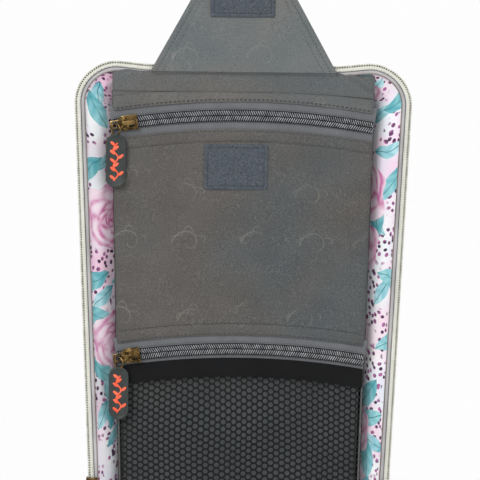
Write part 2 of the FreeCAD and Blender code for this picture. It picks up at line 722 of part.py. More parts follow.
def main_slider(side, sign):
    name = "main_slider_" + side
    reach = "teeth_size/2 + main_gap"
    long = ("-1*main_half", "main_half")
    plate = span(sign, "-1*main_inner", reach + " + main_web")
    pieces = [box(name + "Front", plate, (MAIN_FRONT, TEETH_FRONT + " - main_gap"), long)]
    pieces.append(box(name + "Back", plate,
                      (TEETH_BACK + " + main_gap", TEETH_BACK + " + main_gap + main_plate"), long))
    pieces.append(box(name + "Web", span(sign, reach, reach + " + main_web"),
                      (MAIN_FRONT, TEETH_BACK + " + main_gap + main_plate"), long))
    roof = MAIN_FRONT + " - main_room"
    bridge = ("-1*main_bridge_wide/2", "main_bridge_wide/2")
    pieces.append(box(name + "Roof", bridge, (roof + " - main_bar", roof),
                      ("-1*main_bridge", "main_bridge")))
    for end, low, high in (("Low", "-1*main_bridge", "main_bar - main_bridge"),
                           ("High", "main_bridge - main_bar", "main_bridge")):
        pieces.append(box(name + "Foot" + end, bridge,
                          (roof + " - main_bar", MAIN_FRONT + " + main_plate/2"), (low, high)))
    height = "(spine_gap + half_length - main_height)"
    x = "%d*(rim_half - rim_taper*%s)" % (sign, height)
    angle = "%d*atan(rim_taper)/1deg" % sign
    place(fuse(name, pieces), x, "0", "-1*" + height, angle)

    name = "main_pull_" + side
    thick = (MAIN_PIN_Y + " - main_pin", MAIN_PIN_Y + " + main_pin")
    pieces = [rod(name + "Pin", "main_pin", ("-1*main_pin_half", MAIN_PIN_Y, "0"), "2*main_pin_half",
                  Y_AXIS, 90)]
    for end, low, high in (("Left", "-1*main_pin_half", "main_arm - main_pin_half"),
                           ("Right", "main_pin_half - main_arm", "main_pin_half")):
        pieces.append(box(name + "Arm" + end, (low, high), thick, ("-1*main_pull/2", "0")))
    pieces.append(box(name + "Paddle", ("-1*main_pull_half", "main_pull_half"), thick,
                      ("-1*main_pull", "-1*main_paddle_top")))
    place(fuse(name, pieces), x, "0", "-1*" + height, angle)


main_slider("left", -1)
main_slider("right", 1)

# spine
SPINE_HALF = "(rim_half - rim_taper*half_length - " + GUSSET_OUT + " - spine_inset)"
fuse("spine_hinge", [
    rod("SpinePin", "spine_pin", ("-1*" + SPINE_HALF, "0", HINGE_Z), "2*" + SPINE_HALF, Y_AXIS, 90),
    box("SpineWeb", ("-1*" + SPINE_HALF, SPINE_HALF), ("0", TAPE_BACK),
        (HINGE_Z + " + spine_gap - spine_web", HINGE_Z + " + spine_gap")),
])
keep(box("spine_flange", ("-1*" + SPINE_HALF, SPINE_HALF), ("spine_pin + wall_gap", TAPE_BACK),
         (HINGE_Z + " - spine_gap", HINGE_Z + " - spine_gap + spine_web")), "spine_flange")

# checks and files
doc.recompute()
for item in doc.Objects:
    if "Invalid" in item.State or "Error" in item.State:
        raise RuntimeError("%s did not rebuild: %s" % (item.Name, item.State))
for label, item in parts.items():
    shape = item.Shape
    if shape.isNull() or not shape.isValid() or len(shape.Solids) < 1:
        raise RuntimeError(label + " has no valid solid")
    for sketch in [child for child in item.OutListRecursive if child.TypeId == "Sketcher::SketchObject"]:
        if sketch.solve() != 0:
            raise RuntimeError(sketch.Name + " does not solve")

os.makedirs("parts", exist_ok=True)
for label, item in parts.items():
    item.Shape.exportStep(os.path.join("parts", label + ".step"))
print(len(parts), "pieces written")
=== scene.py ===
import bpy
import math
from mathutils import Matrix, Vector, noise
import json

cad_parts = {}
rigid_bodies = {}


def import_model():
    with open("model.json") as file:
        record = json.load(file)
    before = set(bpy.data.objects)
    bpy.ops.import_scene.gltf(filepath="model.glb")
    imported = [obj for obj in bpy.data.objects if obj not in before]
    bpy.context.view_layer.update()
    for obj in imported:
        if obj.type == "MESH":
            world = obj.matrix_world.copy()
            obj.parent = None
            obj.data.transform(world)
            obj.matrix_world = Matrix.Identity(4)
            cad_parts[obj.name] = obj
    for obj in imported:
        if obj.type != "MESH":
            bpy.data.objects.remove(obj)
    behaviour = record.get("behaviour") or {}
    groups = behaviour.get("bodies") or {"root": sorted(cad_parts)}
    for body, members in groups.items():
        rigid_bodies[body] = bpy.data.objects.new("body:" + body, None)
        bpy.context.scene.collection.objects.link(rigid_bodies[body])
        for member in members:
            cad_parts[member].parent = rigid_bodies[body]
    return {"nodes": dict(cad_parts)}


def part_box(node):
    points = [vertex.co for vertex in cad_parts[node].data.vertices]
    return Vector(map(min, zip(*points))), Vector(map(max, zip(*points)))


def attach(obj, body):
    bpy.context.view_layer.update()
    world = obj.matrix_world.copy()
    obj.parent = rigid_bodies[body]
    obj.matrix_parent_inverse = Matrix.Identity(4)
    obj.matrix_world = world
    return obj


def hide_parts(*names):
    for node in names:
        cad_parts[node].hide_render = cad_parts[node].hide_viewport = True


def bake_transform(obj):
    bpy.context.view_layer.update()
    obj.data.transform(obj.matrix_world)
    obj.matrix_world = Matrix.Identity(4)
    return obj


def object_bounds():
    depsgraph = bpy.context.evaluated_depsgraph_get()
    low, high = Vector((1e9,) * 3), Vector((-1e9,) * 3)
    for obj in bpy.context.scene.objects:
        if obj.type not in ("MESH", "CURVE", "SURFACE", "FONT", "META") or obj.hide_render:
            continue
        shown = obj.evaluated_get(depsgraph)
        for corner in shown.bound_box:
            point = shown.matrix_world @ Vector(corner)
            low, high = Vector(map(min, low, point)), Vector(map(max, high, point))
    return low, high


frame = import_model()
cadLow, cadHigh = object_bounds()
bpy.ops.object.select_all(action="DESELECT")
mm = 0.001


def boxOf(node):
    # low and high corner of a CAD solid, in millimetres
    return [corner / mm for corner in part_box(node)]


def planCentre(node):
    low, high = boxOf(node)
    return (low.x + high.x) / 2, (low.z + high.z) / 2


def planMiddle(node):
    # height of a solid's middle while the bag lies on its back
    low, high = boxOf(node)
    return -(low.y + high.y) / 2


def deselectAll():
    if bpy.context.object and bpy.context.object.mode != "OBJECT":
        bpy.ops.object.mode_set(mode="OBJECT")
    bpy.ops.object.select_all(action="DESELECT")


def pick(piece):
    deselectAll()
    piece.select_set(True)
    bpy.context.view_layer.objects.active = piece


def named(name):
    piece = bpy.context.object
    piece.name = name
    piece.data.name = name
    return piece


def settle(piece):
    # place, turn and size go into the mesh
    pick(piece)
    bpy.ops.object.transform_apply(location=True, rotation=True, scale=True)
    return piece


def applyAll(piece):
    pick(piece)
    for modifier in list(piece.modifiers):
        bpy.ops.object.modifier_apply(modifier=modifier.name)
    return piece


def smooth(piece, degrees=60):
    pick(piece)
    bpy.ops.object.shade_smooth_by_angle(angle=math.radians(degrees))
    return piece


def paint(piece, *materials):
    piece.data.materials.clear()
    for material in materials:
        piece.data.materials.append(material)


def joinAll(pieces, name):
    deselectAll()
    for piece in pieces:
        piece.select_set(True)
    bpy.context.view_layer.objects.active = pieces[0]
    if len(pieces) > 1:
        bpy.ops.object.join()
    return named(name)


def finishPiece(piece, body, material, stands=()):
    paint(piece, material)
    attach(piece, body)
    if stands:
        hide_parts(*stands)


def sheetGrid(name, cells, lengths, place):
    # a cloth grid: place(u, v) with u and v from 0 to 1 gives the point; the UV map is in metres
    deselectAll()
    bpy.ops.mesh.primitive_grid_add(x_subdivisions=cells[0], y_subdivisions=cells[1], size=1, calc_uvs=True)
    piece = named(name)
    mesh = piece.data
    uvOf = {}
    for vertex in mesh.vertices:
        uvOf[vertex.index] = (vertex.co.x + 0.5, vertex.co.y + 0.5)
    for vertex in mesh.vertices:
        vertex.co = place(*uvOf[vertex.index])
    layer = mesh.uv_layers.active.data
    for loop in mesh.loops:
        u, v = uvOf[loop.vertex_index]
        layer[loop.index].uv = (u * lengths[0], v * lengths[1])
    return piece


def thicken(piece, thickness):
    # thickness in millimetres, half to each side
    solid = piece.modifiers.new("thickness", "SOLIDIFY")
    solid.thickness = thickness * mm
    solid.offset = 0
    return applyAll(piece)


def editMesh(operation, **settings):
    # one edit step over the whole mesh of the active piece
    bpy.ops.object.mode_set(mode="EDIT")
    bpy.ops.mesh.select_all(action="SELECT")
    operation(**settings)
    bpy.ops.object.mode_set(mode="OBJECT")


def outward(piece):
    pick(piece)
    editMesh(bpy.ops.mesh.normals_make_consistent, inside=False)


def block(size, centre=(0, 0, 0), bevel=0.0, segments=2):
    # a box with rounded edges, in millimetres
    deselectAll()
    bpy.ops.mesh.primitive_cube_add(size=1, location=Vector(centre) * mm, scale=Vector(size) * mm)
    piece = settle(bpy.context.object)
    if bevel:
        editMesh(bpy.ops.mesh.bevel, offset=bevel * mm, segments=segments, affect="EDGES")
    return piece


def linear(code):
    # an sRGB code such as "6d6c70" as linear colour
    channels = [int(code[i:i + 2], 16) / 255 for i in (0, 2, 4)]
    return [c / 12.92 if c <= 0.04045 else ((c + 0.055) / 1.055) ** 2.4 for c in channels] + [1.0]


class finishNodes:
    # a thin wrapper that keeps node building to one call for each node
    def __init__(self, name):
        self.material = bpy.data.materials.new(name)
        self.material.use_nodes = True
        self.tree = self.material.node_tree
        self.shader = self.tree.nodes["Principled BSDF"]

    def link(self, value, socket):
        if hasattr(value, "is_linked"):
            self.tree.links.new(value, socket)
        else:
            socket.default_value = linear(value) if isinstance(value, str) else value

    def node(self, kind, inputs=None, **settings):
        made = self.tree.nodes.new(kind)
        for key, value in settings.items():
            setattr(made, key, value)
        for key, value in (inputs or {}).items():
            self.link(value, made.inputs[key])
        return made

    def math(self, operation, first, second=0.0):
        return self.node("ShaderNodeMath", {0: first, 1: second}, operation=operation).outputs[0]

    def times(self, first, second):
        return self.math("MULTIPLY", first, second)

    def plus(self, first, second):
        return self.math("ADD", first, second)

    def minus(self, first, second):
        return self.math("SUBTRACT", first, second)

    def sine(self, angle):
        return self.math("SINE", angle)

    def below(self, value, limit):
        return self.math("LESS_THAN", value, limit)

    def moved(self, vector, step, operation="ADD"):
        return self.node("ShaderNodeVectorMath", {0: vector, 1: step}, operation=operation).outputs[0]

    def mix(self, share, first, second, blend="MIX"):
        # either colour may be a code or another node's output
        return self.node("ShaderNodeMix", {0: share, 6: first, 7: second},
                         data_type="RGBA", blend_type=blend).outputs[2]

    def noise(self, vector, scale, detail=3.0, roughness=0.5, distortion=0.0):
        return self.node("ShaderNodeTexNoise", {
            "Vector": vector, "Scale": scale, "Detail": detail, "Roughness": roughness,
            "Distortion": distortion}).outputs[0]

    def ramp(self, value, low, high):
        return self.node("ShaderNodeMapRange", {
            "Value": value, "From Min": low, "From Max": high}, clamp=True).outputs[0]

    def bump(self, height, distance, strength=1.0):
        return self.node("ShaderNodeBump", {
            "Height": height, "Distance": distance, "Strength": strength}).outputs[0]

    def place(self, space="Object"):
        return self.node("ShaderNodeTexCoord").outputs[space]

    def split(self, vector):
        return self.node("ShaderNodeSeparateXYZ", {"Vector": vector}).outputs

    def join(self, x, y):
        return self.node("ShaderNodeCombineXYZ", {"X": x, "Y": y}).outputs[0]

    def cells(self, vector, scale, randomness=1.0, feature="F1"):
        return self.node("ShaderNodeTexVoronoi", {
            "Vector": vector, "Scale": scale, "Randomness": randomness},
            voronoi_dimensions="2D", feature=feature).outputs

    def done(self, color, roughness, normal=None, metallic=0.0, sheen=0.0, specular=0.5):
        self.link(color, self.shader.inputs["Base Color"])
        self.link(roughness, self.shader.inputs["Roughness"])
        self.shader.inputs["Metallic"].default_value = metallic
        self.shader.inputs["Sheen Weight"].default_value = sheen
        self.shader.inputs["Sheen Roughness"].default_value = 0.5
        self.shader.inputs["Specular IOR Level"].default_value = specular
        if normal is not None:
            self.link(normal, self.shader.inputs["Normal"])
        return self.material


view = {
    "target": (-0.001, 0.0, -0.1015), "distance": 1.15, "elevation": 6.0, "roll": 0.7,
    "width": 0.291, "floorRadius": 0.42, "floorDrop": 0.03,
}


def setCamera():
    target = Vector(view["target"])
    rise = math.radians(view["elevation"])
    back = Vector((0, -math.cos(rise), math.sin(rise)))
    bpy.ops.object.camera_add(location=target + back * view["distance"])
    camera = bpy.context.object
    camera.name = "studioCamera"
    camera.data.sensor_width = 36
    camera.data.lens = 36 * view["distance"] / view["width"]
    turn = (-back).to_track_quat("-Z", "Y").to_matrix()
    camera.rotation_euler = (turn @ Matrix.Rotation(math.radians(view["roll"]), 3, "Z")).to_euler()
    bpy.context.scene.camera = camera


def addLamp(name, place, size, power, aim=(0, 0, -0.15)):
    bpy.ops.object.light_add(type="AREA", location=place)
    lamp = bpy.context.object
    lamp.name = name
    lamp.data.energy = power
    lamp.data.size = size
    lamp.rotation_euler = (Vector(aim) - Vector(place)).to_track_quat("-Z", "Y").to_euler()


def setStage():
    world = bpy.data.worlds.new("paleRoom")
    bpy.context.scene.world = world
    world.use_nodes = True
    tree = world.node_tree
    sky = tree.nodes["Background"]
    sky.inputs[0].default_value = (0.97, 0.97, 0.98, 1)
    sky.inputs[1].default_value = 0.72
    bright = tree.nodes.new("ShaderNodeBackground")
    bright.inputs[0].default_value = (0.985, 0.985, 0.985, 1)
    ray = tree.nodes.new("ShaderNodeLightPath")
    both = tree.nodes.new("ShaderNodeMixShader")
    tree.links.new(ray.outputs["Is Camera Ray"], both.inputs[0])
    tree.links.new(sky.outputs[0], both.inputs[1])
    tree.links.new(bright.outputs[0], both.inputs[2])
    tree.links.new(both.outputs[0], tree.nodes["World Output"].inputs[0])
    addLamp("keyLamp", (-0.8, -1.5, 0.9), 0.9, 20)
    addLamp("fillLamp", (1.2, -1.2, 0.2), 1.2, 5)
    addLamp("backLamp", (0.4, 1.6, 0.8), 1.2, 10)
    bpy.ops.mesh.primitive_cylinder_add(
        vertices=96, radius=view["floorRadius"], depth=0.01,
        location=(0, 0.02, cadLow.z - view["floorDrop"]))
    floor = named("floor")
    paleFloor = finishNodes("paleFloor")
    grain = paleFloor.noise(paleFloor.place(), 60)
    paint(floor, paleFloor.done(paleFloor.mix(grain, "ececea", "f4f4f2"), 0.7))
    bpy.context.scene.view_settings.view_transform = "Standard"


setCamera()
setStage()
print("camera, light and floor")


def weave(nodes, vector, pitch, depth):
    # two crossed sets of threads
    x, y, z = nodes.split(vector)
    flat = nodes.plus(x, nodes.times(y, 0.35))
    warp = nodes.sine(nodes.times(flat, 2 * math.pi / pitch))
    weft = nodes.sine(nodes.times(z, 2 * math.pi / pitch))
    threads = nodes.times(warp, weft)
    fuzz = nodes.noise(vector, 0.4 / pitch, 2)
    return nodes.bump(nodes.plus(threads, fuzz), depth, 0.6)


def liningCloth(name, light, dark, cool, warm):
    nodes = finishNodes(name)
    place = nodes.place()
    sides = nodes.split(place)
    flat = nodes.join(sides[0], sides[2])
    cloud = nodes.noise(place, 28, 4, 0.6)
    base = nodes.mix(nodes.ramp(cloud, 0.3, 0.7), dark, light)
    tint = nodes.mix(nodes.ramp(nodes.noise(place, 11, 2), 0.42, 0.62), cool, warm)
    base = nodes.mix(0.45, base, tint)
    # sprig drawn in a paler tone: a curled stem with small buds
    cell = nodes.cells(flat, 26, 0.35)
    middle = nodes.moved(flat, cell[2], "SUBTRACT")
    px, py = nodes.split(middle)[:2]
    radius = nodes.math("SQRT", nodes.plus(nodes.math("POWER", nodes.math("ABSOLUTE", px), 2.0),
                                           nodes.math("POWER", nodes.math("ABSOLUTE", py), 2.0)))
    angle = nodes.math("ARCTAN2", py, px)
    curl = nodes.times(nodes.plus(angle, math.pi), 0.00155)
    off = nodes.math("ABSOLUTE", nodes.minus(radius, curl))
    stem = nodes.below(off, 0.00042)
    buds = nodes.math("ABSOLUTE", nodes.minus(radius, nodes.plus(
        0.0085, nodes.times(nodes.sine(nodes.times(angle, 5.0)), 0.0022))))
    leaf = nodes.times(nodes.below(buds, 0.0003), nodes.math("GREATER_THAN", py, 0.001))
    motif = nodes.math("MAXIMUM", stem, leaf)
    faded = nodes.times(motif, nodes.ramp(nodes.noise(place, 60, 2), 0.35, 0.75))
    base = nodes.mix(nodes.times(faded, 0.5), base, "8f8e87")
    speck = nodes.noise(place, 1400, 1)
    base = nodes.mix(nodes.times(nodes.ramp(speck, 0.5, 0.75), 0.3), base, "85857f")
    base = nodes.mix(nodes.times(nodes.ramp(speck, 0.5, 0.25), 0.35), base, "2e2f30")
    return nodes.done(base, 0.62, weave(nodes, place, 0.00055, 0.00006), sheen=0.1, specular=0.3)


def plainCloth(name, light, dark, pitch=0.0006, roughness=0.75, sheen=0.2):
    nodes = finishNodes(name)
    place = nodes.place()
    cloud = nodes.noise(place, 45, 3)
    base = nodes.mix(nodes.ramp(cloud, 0.3, 0.7), dark, light)
    speck = nodes.noise(place, 1500, 1)
    base = nodes.mix(nodes.times(nodes.ramp(speck, 0.4, 0.8), 0.2), base, light)
    return nodes.done(base, roughness, weave(nodes, place, pitch, 0.00008), sheen=sheen, specular=0.3)


def floralCloth():
    # roses, leaves and berry sprays on a pale ground, laid out on the fabric's own UV map
    nodes = finishNodes("floralPrint")
    uv = nodes.place("UV")
    wobble = nodes.node("ShaderNodeTexNoise", {"Vector": uv, "Scale": 55.0, "Detail": 2.0}).outputs[1]
    shift = nodes.moved(wobble, (0.5, 0.5, 0.5), "SUBTRACT")
    small = nodes.node("ShaderNodeVectorMath", {0: shift, "Scale": 0.006}, operation="SCALE").outputs[0]
    place = nodes.moved(uv, small)

    def polar(cell, source):
        local = nodes.moved(source, cell[2], "SUBTRACT")
        radius = nodes.node("ShaderNodeVectorMath", {0: local}, operation="LENGTH").outputs[1]
        px, py = nodes.split(local)[:2]
        return radius, nodes.math("ARCTAN2", py, px)

    wash = nodes.noise(uv, 30, 3)
    ground = nodes.mix(nodes.ramp(wash, 0.35, 0.7), "ffffff", "e9f0fb")
    blush = nodes.noise(uv, 22, 2, 0.5, 0.4)
    ground = nodes.mix(nodes.ramp(blush, 0.46, 0.68), ground, "fad3e8")

    # berry sprays
    dots = nodes.cells(place, 240, 0.85)
    inside = nodes.below(dots[0], 0.29)
    clump = nodes.ramp(nodes.noise(uv, 48, 1), 0.46, 0.5)
    berry = nodes.mix(nodes.ramp(nodes.noise(uv, 300, 0), 0.42, 0.58), "452b4c", "b0689e")
    color = nodes.mix(nodes.times(inside, clump), ground, berry)

    # leaves: pointed ovals turned by each cell's own random angle
    for scale, seed, dark, light in ((40, 0.0, "6abac6", "c6ebf2"), (30, 7.3, "55adb8", "a6dce2")):
        moved = nodes.moved(place, (seed, seed * 0.7, 0))
        cell = nodes.cells(moved, scale, 0.9)
        radius, angle = polar(cell, moved)
        red, green = nodes.split(cell[1])[:2]
        turn = nodes.plus(angle, nodes.times(red, 6.28))
        along = nodes.times(radius, nodes.math("COSINE", turn))
        across = nodes.math("ABSOLUTE", nodes.times(radius, nodes.sine(turn)))
        ratio = nodes.math("DIVIDE", along, 0.42 / scale)
        width = nodes.times(nodes.minus(1.0, nodes.times(ratio, ratio)),
                           0.17 / scale)
        mask = nodes.below(across, width)
        vein = nodes.sine(nodes.times(nodes.minus(along, across), 900.0))
        tone = nodes.ramp(nodes.plus(nodes.times(vein, 0.34), ratio), -1.0, 1.0)
        rib = nodes.below(across, 0.00022)
        leaf = nodes.mix(rib, nodes.mix(tone, dark, light), "3b8088")
        color = nodes.mix(nodes.times(mask, nodes.math("GREATER_THAN", green, 0.25)), color, leaf)

    # roses: petals are cells of a polar grid that tighten towards the middle
    moved = nodes.moved(place, (3.1, 1.7, 0))
    cell = nodes.cells(moved, 17, 0.55)
    radius, angle = polar(cell, moved)
    red, green = nodes.split(cell[1])[:2]
    edge = nodes.times(nodes.sine(nodes.times(angle, 5.0)), 0.0014)
    size = nodes.plus(nodes.plus(0.0165, edge), nodes.times(red, 0.005))
    mask = nodes.below(radius, size)
    swirl = nodes.plus(nodes.times(angle, 0.95),
                       nodes.times(nodes.math("SQRT", radius), 21.0))
    petals = nodes.cells(nodes.join(swirl, nodes.times(nodes.math("SQRT", radius), 30.0)), 1.0, 0.7,
                         "DISTANCE_TO_EDGE")
    body = nodes.ramp(petals[0], 0.0, 0.3)
    petal = nodes.mix(body, "cf62a4", "fdeaf5")
    heart = nodes.ramp(radius, 0.001, 0.012)
    petal = nodes.mix(nodes.times(nodes.minus(1.0, heart), 0.7), petal, "e592c3", "MULTIPLY")
    petal = nodes.mix(nodes.ramp(nodes.noise(uv, 120, 2), 0.4, 0.75), petal, "fbe6f1")
    color = nodes.mix(nodes.times(mask, nodes.math("GREATER_THAN", green, 0.3)), color, petal)

    x, y = nodes.split(uv)[:2]
    threads = nodes.times(nodes.sine(nodes.times(x, 11000.0)),
                         nodes.sine(nodes.times(y, 11000.0)))
    return nodes.done(color, 0.6, nodes.bump(threads, 0.00005, 0.5), sheen=0.1, specular=0.35)


def ribbedTape(name, light, dark, ribs=5600.0):
    # woven zip tape, ribs across its length, on the tape's own UV map
    nodes = finishNodes(name)
    uv = nodes.place("UV")
    x, y = nodes.split(uv)[:2]
    rib = nodes.sine(nodes.times(x, ribs))
    cord = nodes.sine(nodes.times(y, ribs * 2))
    # tone along the ribs: raised ribs lighter and grooves darker, painted shade, with random tone from the noise
    shade = nodes.ramp(nodes.plus(nodes.times(rib, 0.22), nodes.noise(uv, 90, 3)), 0.0, 0.9)
    base = nodes.mix(shade, dark, light)
    return nodes.done(base, 0.7, nodes.bump(nodes.plus(rib, nodes.times(cord, 0.4)), 0.00007, 0.6),
                      sheen=0.15, specular=0.3)


def glossCoil(name, dark, light, roughness=0.3):
    nodes = finishNodes(name)
    tone = nodes.noise(nodes.place(), 240, 2)
    return nodes.done(nodes.mix(nodes.ramp(tone, 0.35, 0.7), dark, light),
                      roughness,
                      nodes.bump(nodes.noise(nodes.place(), 2500, 1), 0.00002), specular=0.6)


def agedBrass():
    nodes = finishNodes("agedBrass")
    place = nodes.place()
    tarnish = nodes.noise(place, 300, 3, 0.5)
    fine = nodes.noise(place, 2200, 2)
    color = nodes.mix(nodes.ramp(tarnish, 0.38, 0.66), "463620", "9c8050")
    color = nodes.mix(nodes.times(nodes.ramp(fine, 0.5, 0.8), 0.25), color, "2e241a")
    roughness = nodes.node("ShaderNodeMapRange", {
        "Value": tarnish, "From Min": 0.3, "From Max": 0.7, "To Min": 0.42, "To Max": 0.24}).outputs[0]
    return nodes.done(color, roughness, nodes.bump(fine, 0.00004), metallic=1.0)


def mouldedRubber(name, light, dark, roughness=0.48):
    nodes = finishNodes(name)
    place = nodes.place()
    dust = nodes.noise(place, 160, 4, 0.6)
    fine = nodes.noise(place, 3000, 2)
    color = nodes.mix(nodes.ramp(dust, 0.35, 0.75), dark, light)
    return nodes.done(color, roughness, nodes.bump(fine, 0.00003), specular=0.45)


def loopPile():
    nodes = finishNodes("loopPile")
    place = nodes.place()
    fluff = nodes.noise(place, 900, 4, 0.75, 1.2)
    patch = nodes.noise(place, 120, 3)
    # the pile's tone follows its bump: raised tufts lighter and dips darker, painted shade, with random tone
    color = nodes.mix(nodes.ramp(fluff, 0.35, 0.68), "2b3138", "656c74")
    color = nodes.mix(nodes.times(nodes.ramp(patch, 0.4, 0.7), 0.4), color, "4b535b")
    return nodes.done(color, 0.9, nodes.bump(fluff, 0.0005, 0.9), sheen=0.25, specular=0.2)


finish = {
    "lining": liningCloth("greyLining", "585855", "444645", "414c53", "574f4a"),
    # the facing, flap and net-lining finishes are the grey lining cloth in lighter tones: painted light, lit
    # copies of one cloth
    "facingLining": liningCloth("facingLining", "666663", "515251", "4e5a62", "655f59"),
    "flapLining": liningCloth("flapLining", "74746f", "5b5c59", "5a676e", "736b64"),
    "netLining": liningCloth("netLining", "8a8c8b", "747776", "43525e", "52565b"),
    "floral": floralCloth(),
    "binding": plainCloth("taupeBinding", "c2c0c0", "a3a0a1", 0.0007),
    "thread": plainCloth("greyThread", "38393c", "28292b", 0.0003),
    "seamShade": plainCloth("seamShade", "6d6c70", "4c4b50", 0.0005),
    "bindingSeam": plainCloth("bindingSeam", "8d7f7b", "6c605e", 0.0005),
    "seamThread": plainCloth("paleThread", "c9c8bd", "a9a89d", 0.0003),
    "ivoryCord": glossCoil("ivoryCord", "b9b8ab", "dcdbd0", 0.4),
    "piping": plainCloth("ivoryPiping", "e4e3d8", "cfcec2", 0.0005),
    "ivoryTape": ribbedTape("ivoryTape", "e2e2d8", "c2c1b5"),
    "ivoryTeeth": glossCoil("ivoryTeeth", "b9b8aa", "dddccf", 0.4),
    "greyTape": ribbedTape("greyTape", "6f7174", "57595c"),
    "coil": glossCoil("darkCoil", "6c6e72", "aeb0b3", 0.25),
    # near-black finish for the strip under the coils and the core of the rim teeth: painted shade
    "coilBed": plainCloth("coilBed", "1a1a1c", "101012", 0.0005, 0.8, 0.0),
    "mesh": plainCloth("meshCord", "0a0a0b", "040405", 0.0009, 0.7, 0.0),
    "blackTrim": plainCloth("blackTrim", "0b0c0e", "050506", 0.0008, 0.9, 0.0),
    "elastic": ribbedTape("blackElastic", "2d2e31", "151517", 4200.0),
    "brass": agedBrass(),
    "rubber": mouldedRubber("charcoalRubber", "363d3b", "262c2a"),
    "orange": mouldedRubber("orangeRubber", "ff7a55", "ee5535", 0.42),
    "pile": loopPile(),
    "pileThread": plainCloth("pileThread", "3b444d", "2b333b", 0.0003),
    "board": plainCloth("edgeBoard", "6a6a6a", "585858"),
}
print("fabrics and finishes")


# the outline every ring-shaped piece follows, in millimetres, with the bag lying on its back:
# x to the right, y towards the flap, z towards the viewer
case = {
    "rimHalf": 101.5, "taper": 0.0393, "rise": 6.0, "cornerRadius": 25.0, "backRadius": 12.0,
    "lip": 6.1, "flare": 8.3, "hinge": -281.0,
}
case["foot"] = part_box("upper_gusset")[0].z / mm
case["tapeFront"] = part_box("upper_zip_tape")[0].y / mm
case["tapeBack"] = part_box("upper_zip_tape")[1].y / mm
case["boardBack"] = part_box("upper_back_panel")[0].y / mm
case["back"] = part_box("upper_back_panel")[1].y / mm


def stand(piece):
    # from lying on its back to hanging, front towards -Y
    pick(piece)
    piece.rotation_euler = (math.radians(90), 0, 0)
    return settle(piece)


def turnedCopy(piece, name):
    # the lower half is the upper one turned over about the spine
    pick(piece)
    bpy.ops.object.duplicate()
    copy = named(name)
    copy.matrix_world = Matrix.Translation((0, 0, 2 * case["hinge"] * mm)) @ Matrix.Rotation(math.pi, 4, "Y")
    return settle(copy)


def lineBetween(start, end):
    return lambda share: (start[0] + (end[0] - start[0]) * share, start[1] + (end[1] - start[1]) * share)


def arcAbout(centre, radius, start, end):
    return lambda share: (centre[0] + radius * math.cos(start + (end - start) * share),
                          centre[1] + radius * math.sin(start + (end - start) * share))


def caseOutline(inset, radius, foot):
    # seven stretches, from the middle of the foot, up the left side, over the top and back
    lean = case["taper"]
    half = case["rimHalf"] - inset
    high = case["rise"] - inset
    slope = math.hypot(1, lean)
    centreY = high - radius
    centreX = half + lean * centreY - radius * slope
    side = (centreX + radius / slope, centreY - radius * lean / slope)
    footX = half + lean * foot
    tilt = math.atan(lean)
    return [
        lineBetween((0, foot), (-footX, foot)),
        lineBetween((-footX, foot), (-side[0], side[1])),
        arcAbout((-centreX, centreY), radius, math.pi + tilt, math.pi / 2),
        lineBetween((-centreX, high), (centreX, high)),
        arcAbout((centreX, centreY), radius, math.pi / 2, -tilt),
        lineBetween(side, (footX, foot)),
        lineBetween((footX, foot), (0, foot)),
    ]


def stretchShares(outline):
    lengths = []
    for stretch in outline:
        points = [Vector(stretch(step / 12)) for step in range(13)]
        lengths.append(sum((points[i + 1] - points[i]).length for i in range(12)))
    total = sum(lengths)
    ends, done = [], 0.0
    for length in lengths:
        done += length
        ends.append(done / total)
    return ends, total


def pointAt(outline, ends, share):
    start = 0.0
    for index, end in enumerate(ends):
        if share <= end or index == len(ends) - 1:
            return outline[index](min(1.0, (share - start) / (end - start)))
        start = end


topSag = {"corner": 1.4, "middle": 2.3, "from": 80.0, "fade": 26.0, "high": 22.0, "deep": 22.0}


def standRing(piece):
    # between its corners the top edge sinks a little, as limp cloth does; the stiff back doesn't
    for vertex in piece.data.vertices:
        x, y, depth = abs(vertex.co.x) / mm, vertex.co.y / mm, -vertex.co.z / mm
        near = max(0.0, min(1.0, 1 + y / topSag["high"])) * max(0.0, min(1.0, 1 - depth / topSag["deep"]))
        share = max(0.0, min(1.0, (topSag["from"] - x) / topSag["fade"]))
        vertex.co.y -= near * (topSag["corner"] + topSag["middle"] * share * share * (3 - 2 * share)) * mm
    return stand(piece)


rimEnds, rimTotal = stretchShares(caseOutline(0, case["cornerRadius"], case["foot"]))


def halfWidth(inset, radius, height):
    # half width of the outline at one height, corners included
    lean = case["taper"]
    half = case["rimHalf"] - inset
    centreY = case["rise"] - inset - radius
    centreX = half + lean * centreY - radius * math.hypot(1, lean)
    if height > centreY:
        return centreX + math.sqrt(max(0.0, radius * radius - (height - centreY) ** 2))
    return half + lean * height


def pathOf(name, points):
    # a flat path for rows of teeth, stitches and tapes
    curve = bpy.data.curves.new(name, "CURVE")
    curve.dimensions = "2D"
    spline = curve.splines.new("POLY")
    spline.points.add(len(points) - 1)
    for point, (x, y) in zip(spline.points, points):
        point.co = (x * mm, y * mm, 0, 1)
    path = bpy.data.objects.new(name, curve)
    bpy.context.scene.collection.objects.link(path)
    length = sum((Vector(points[i + 1]) - Vector(points[i])).length for i in range(len(points) - 1))
    return path, length


def stretchPoints(stretches, cuts):
    points = []
    for stretch in stretches:
        points += [stretch(step / cuts) for step in range(cuts)]
    return points


def outlinePath(name, inset, radius, closed=False):
    outline = caseOutline(inset, radius, case["foot"])
    stretches = outline if closed else outline[1:6]
    return pathOf(name, stretchPoints(stretches, 40) + [stretches[-1](1.0)])


def bend(piece, path):
    # lays a straight row along a path, then forgets the path
    pick(piece)
    modifier = piece.modifiers.new("alongPath", "CURVE")
    modifier.object = path
    modifier.deform_axis = "POS_X"
    bpy.ops.object.modifier_apply(modifier=modifier.name)
    bpy.data.objects.remove(path)
    return piece


def addArray(piece, name, count, step):
    row = piece.modifiers.new(name, "ARRAY")
    row.count = count
    row.use_relative_offset = False
    row.use_constant_offset = True
    row.constant_offset_displace = Vector(step) * mm


def repeat(piece, count, step):
    addArray(piece, "row", count, (step, 0, 0))
    return applyAll(piece)


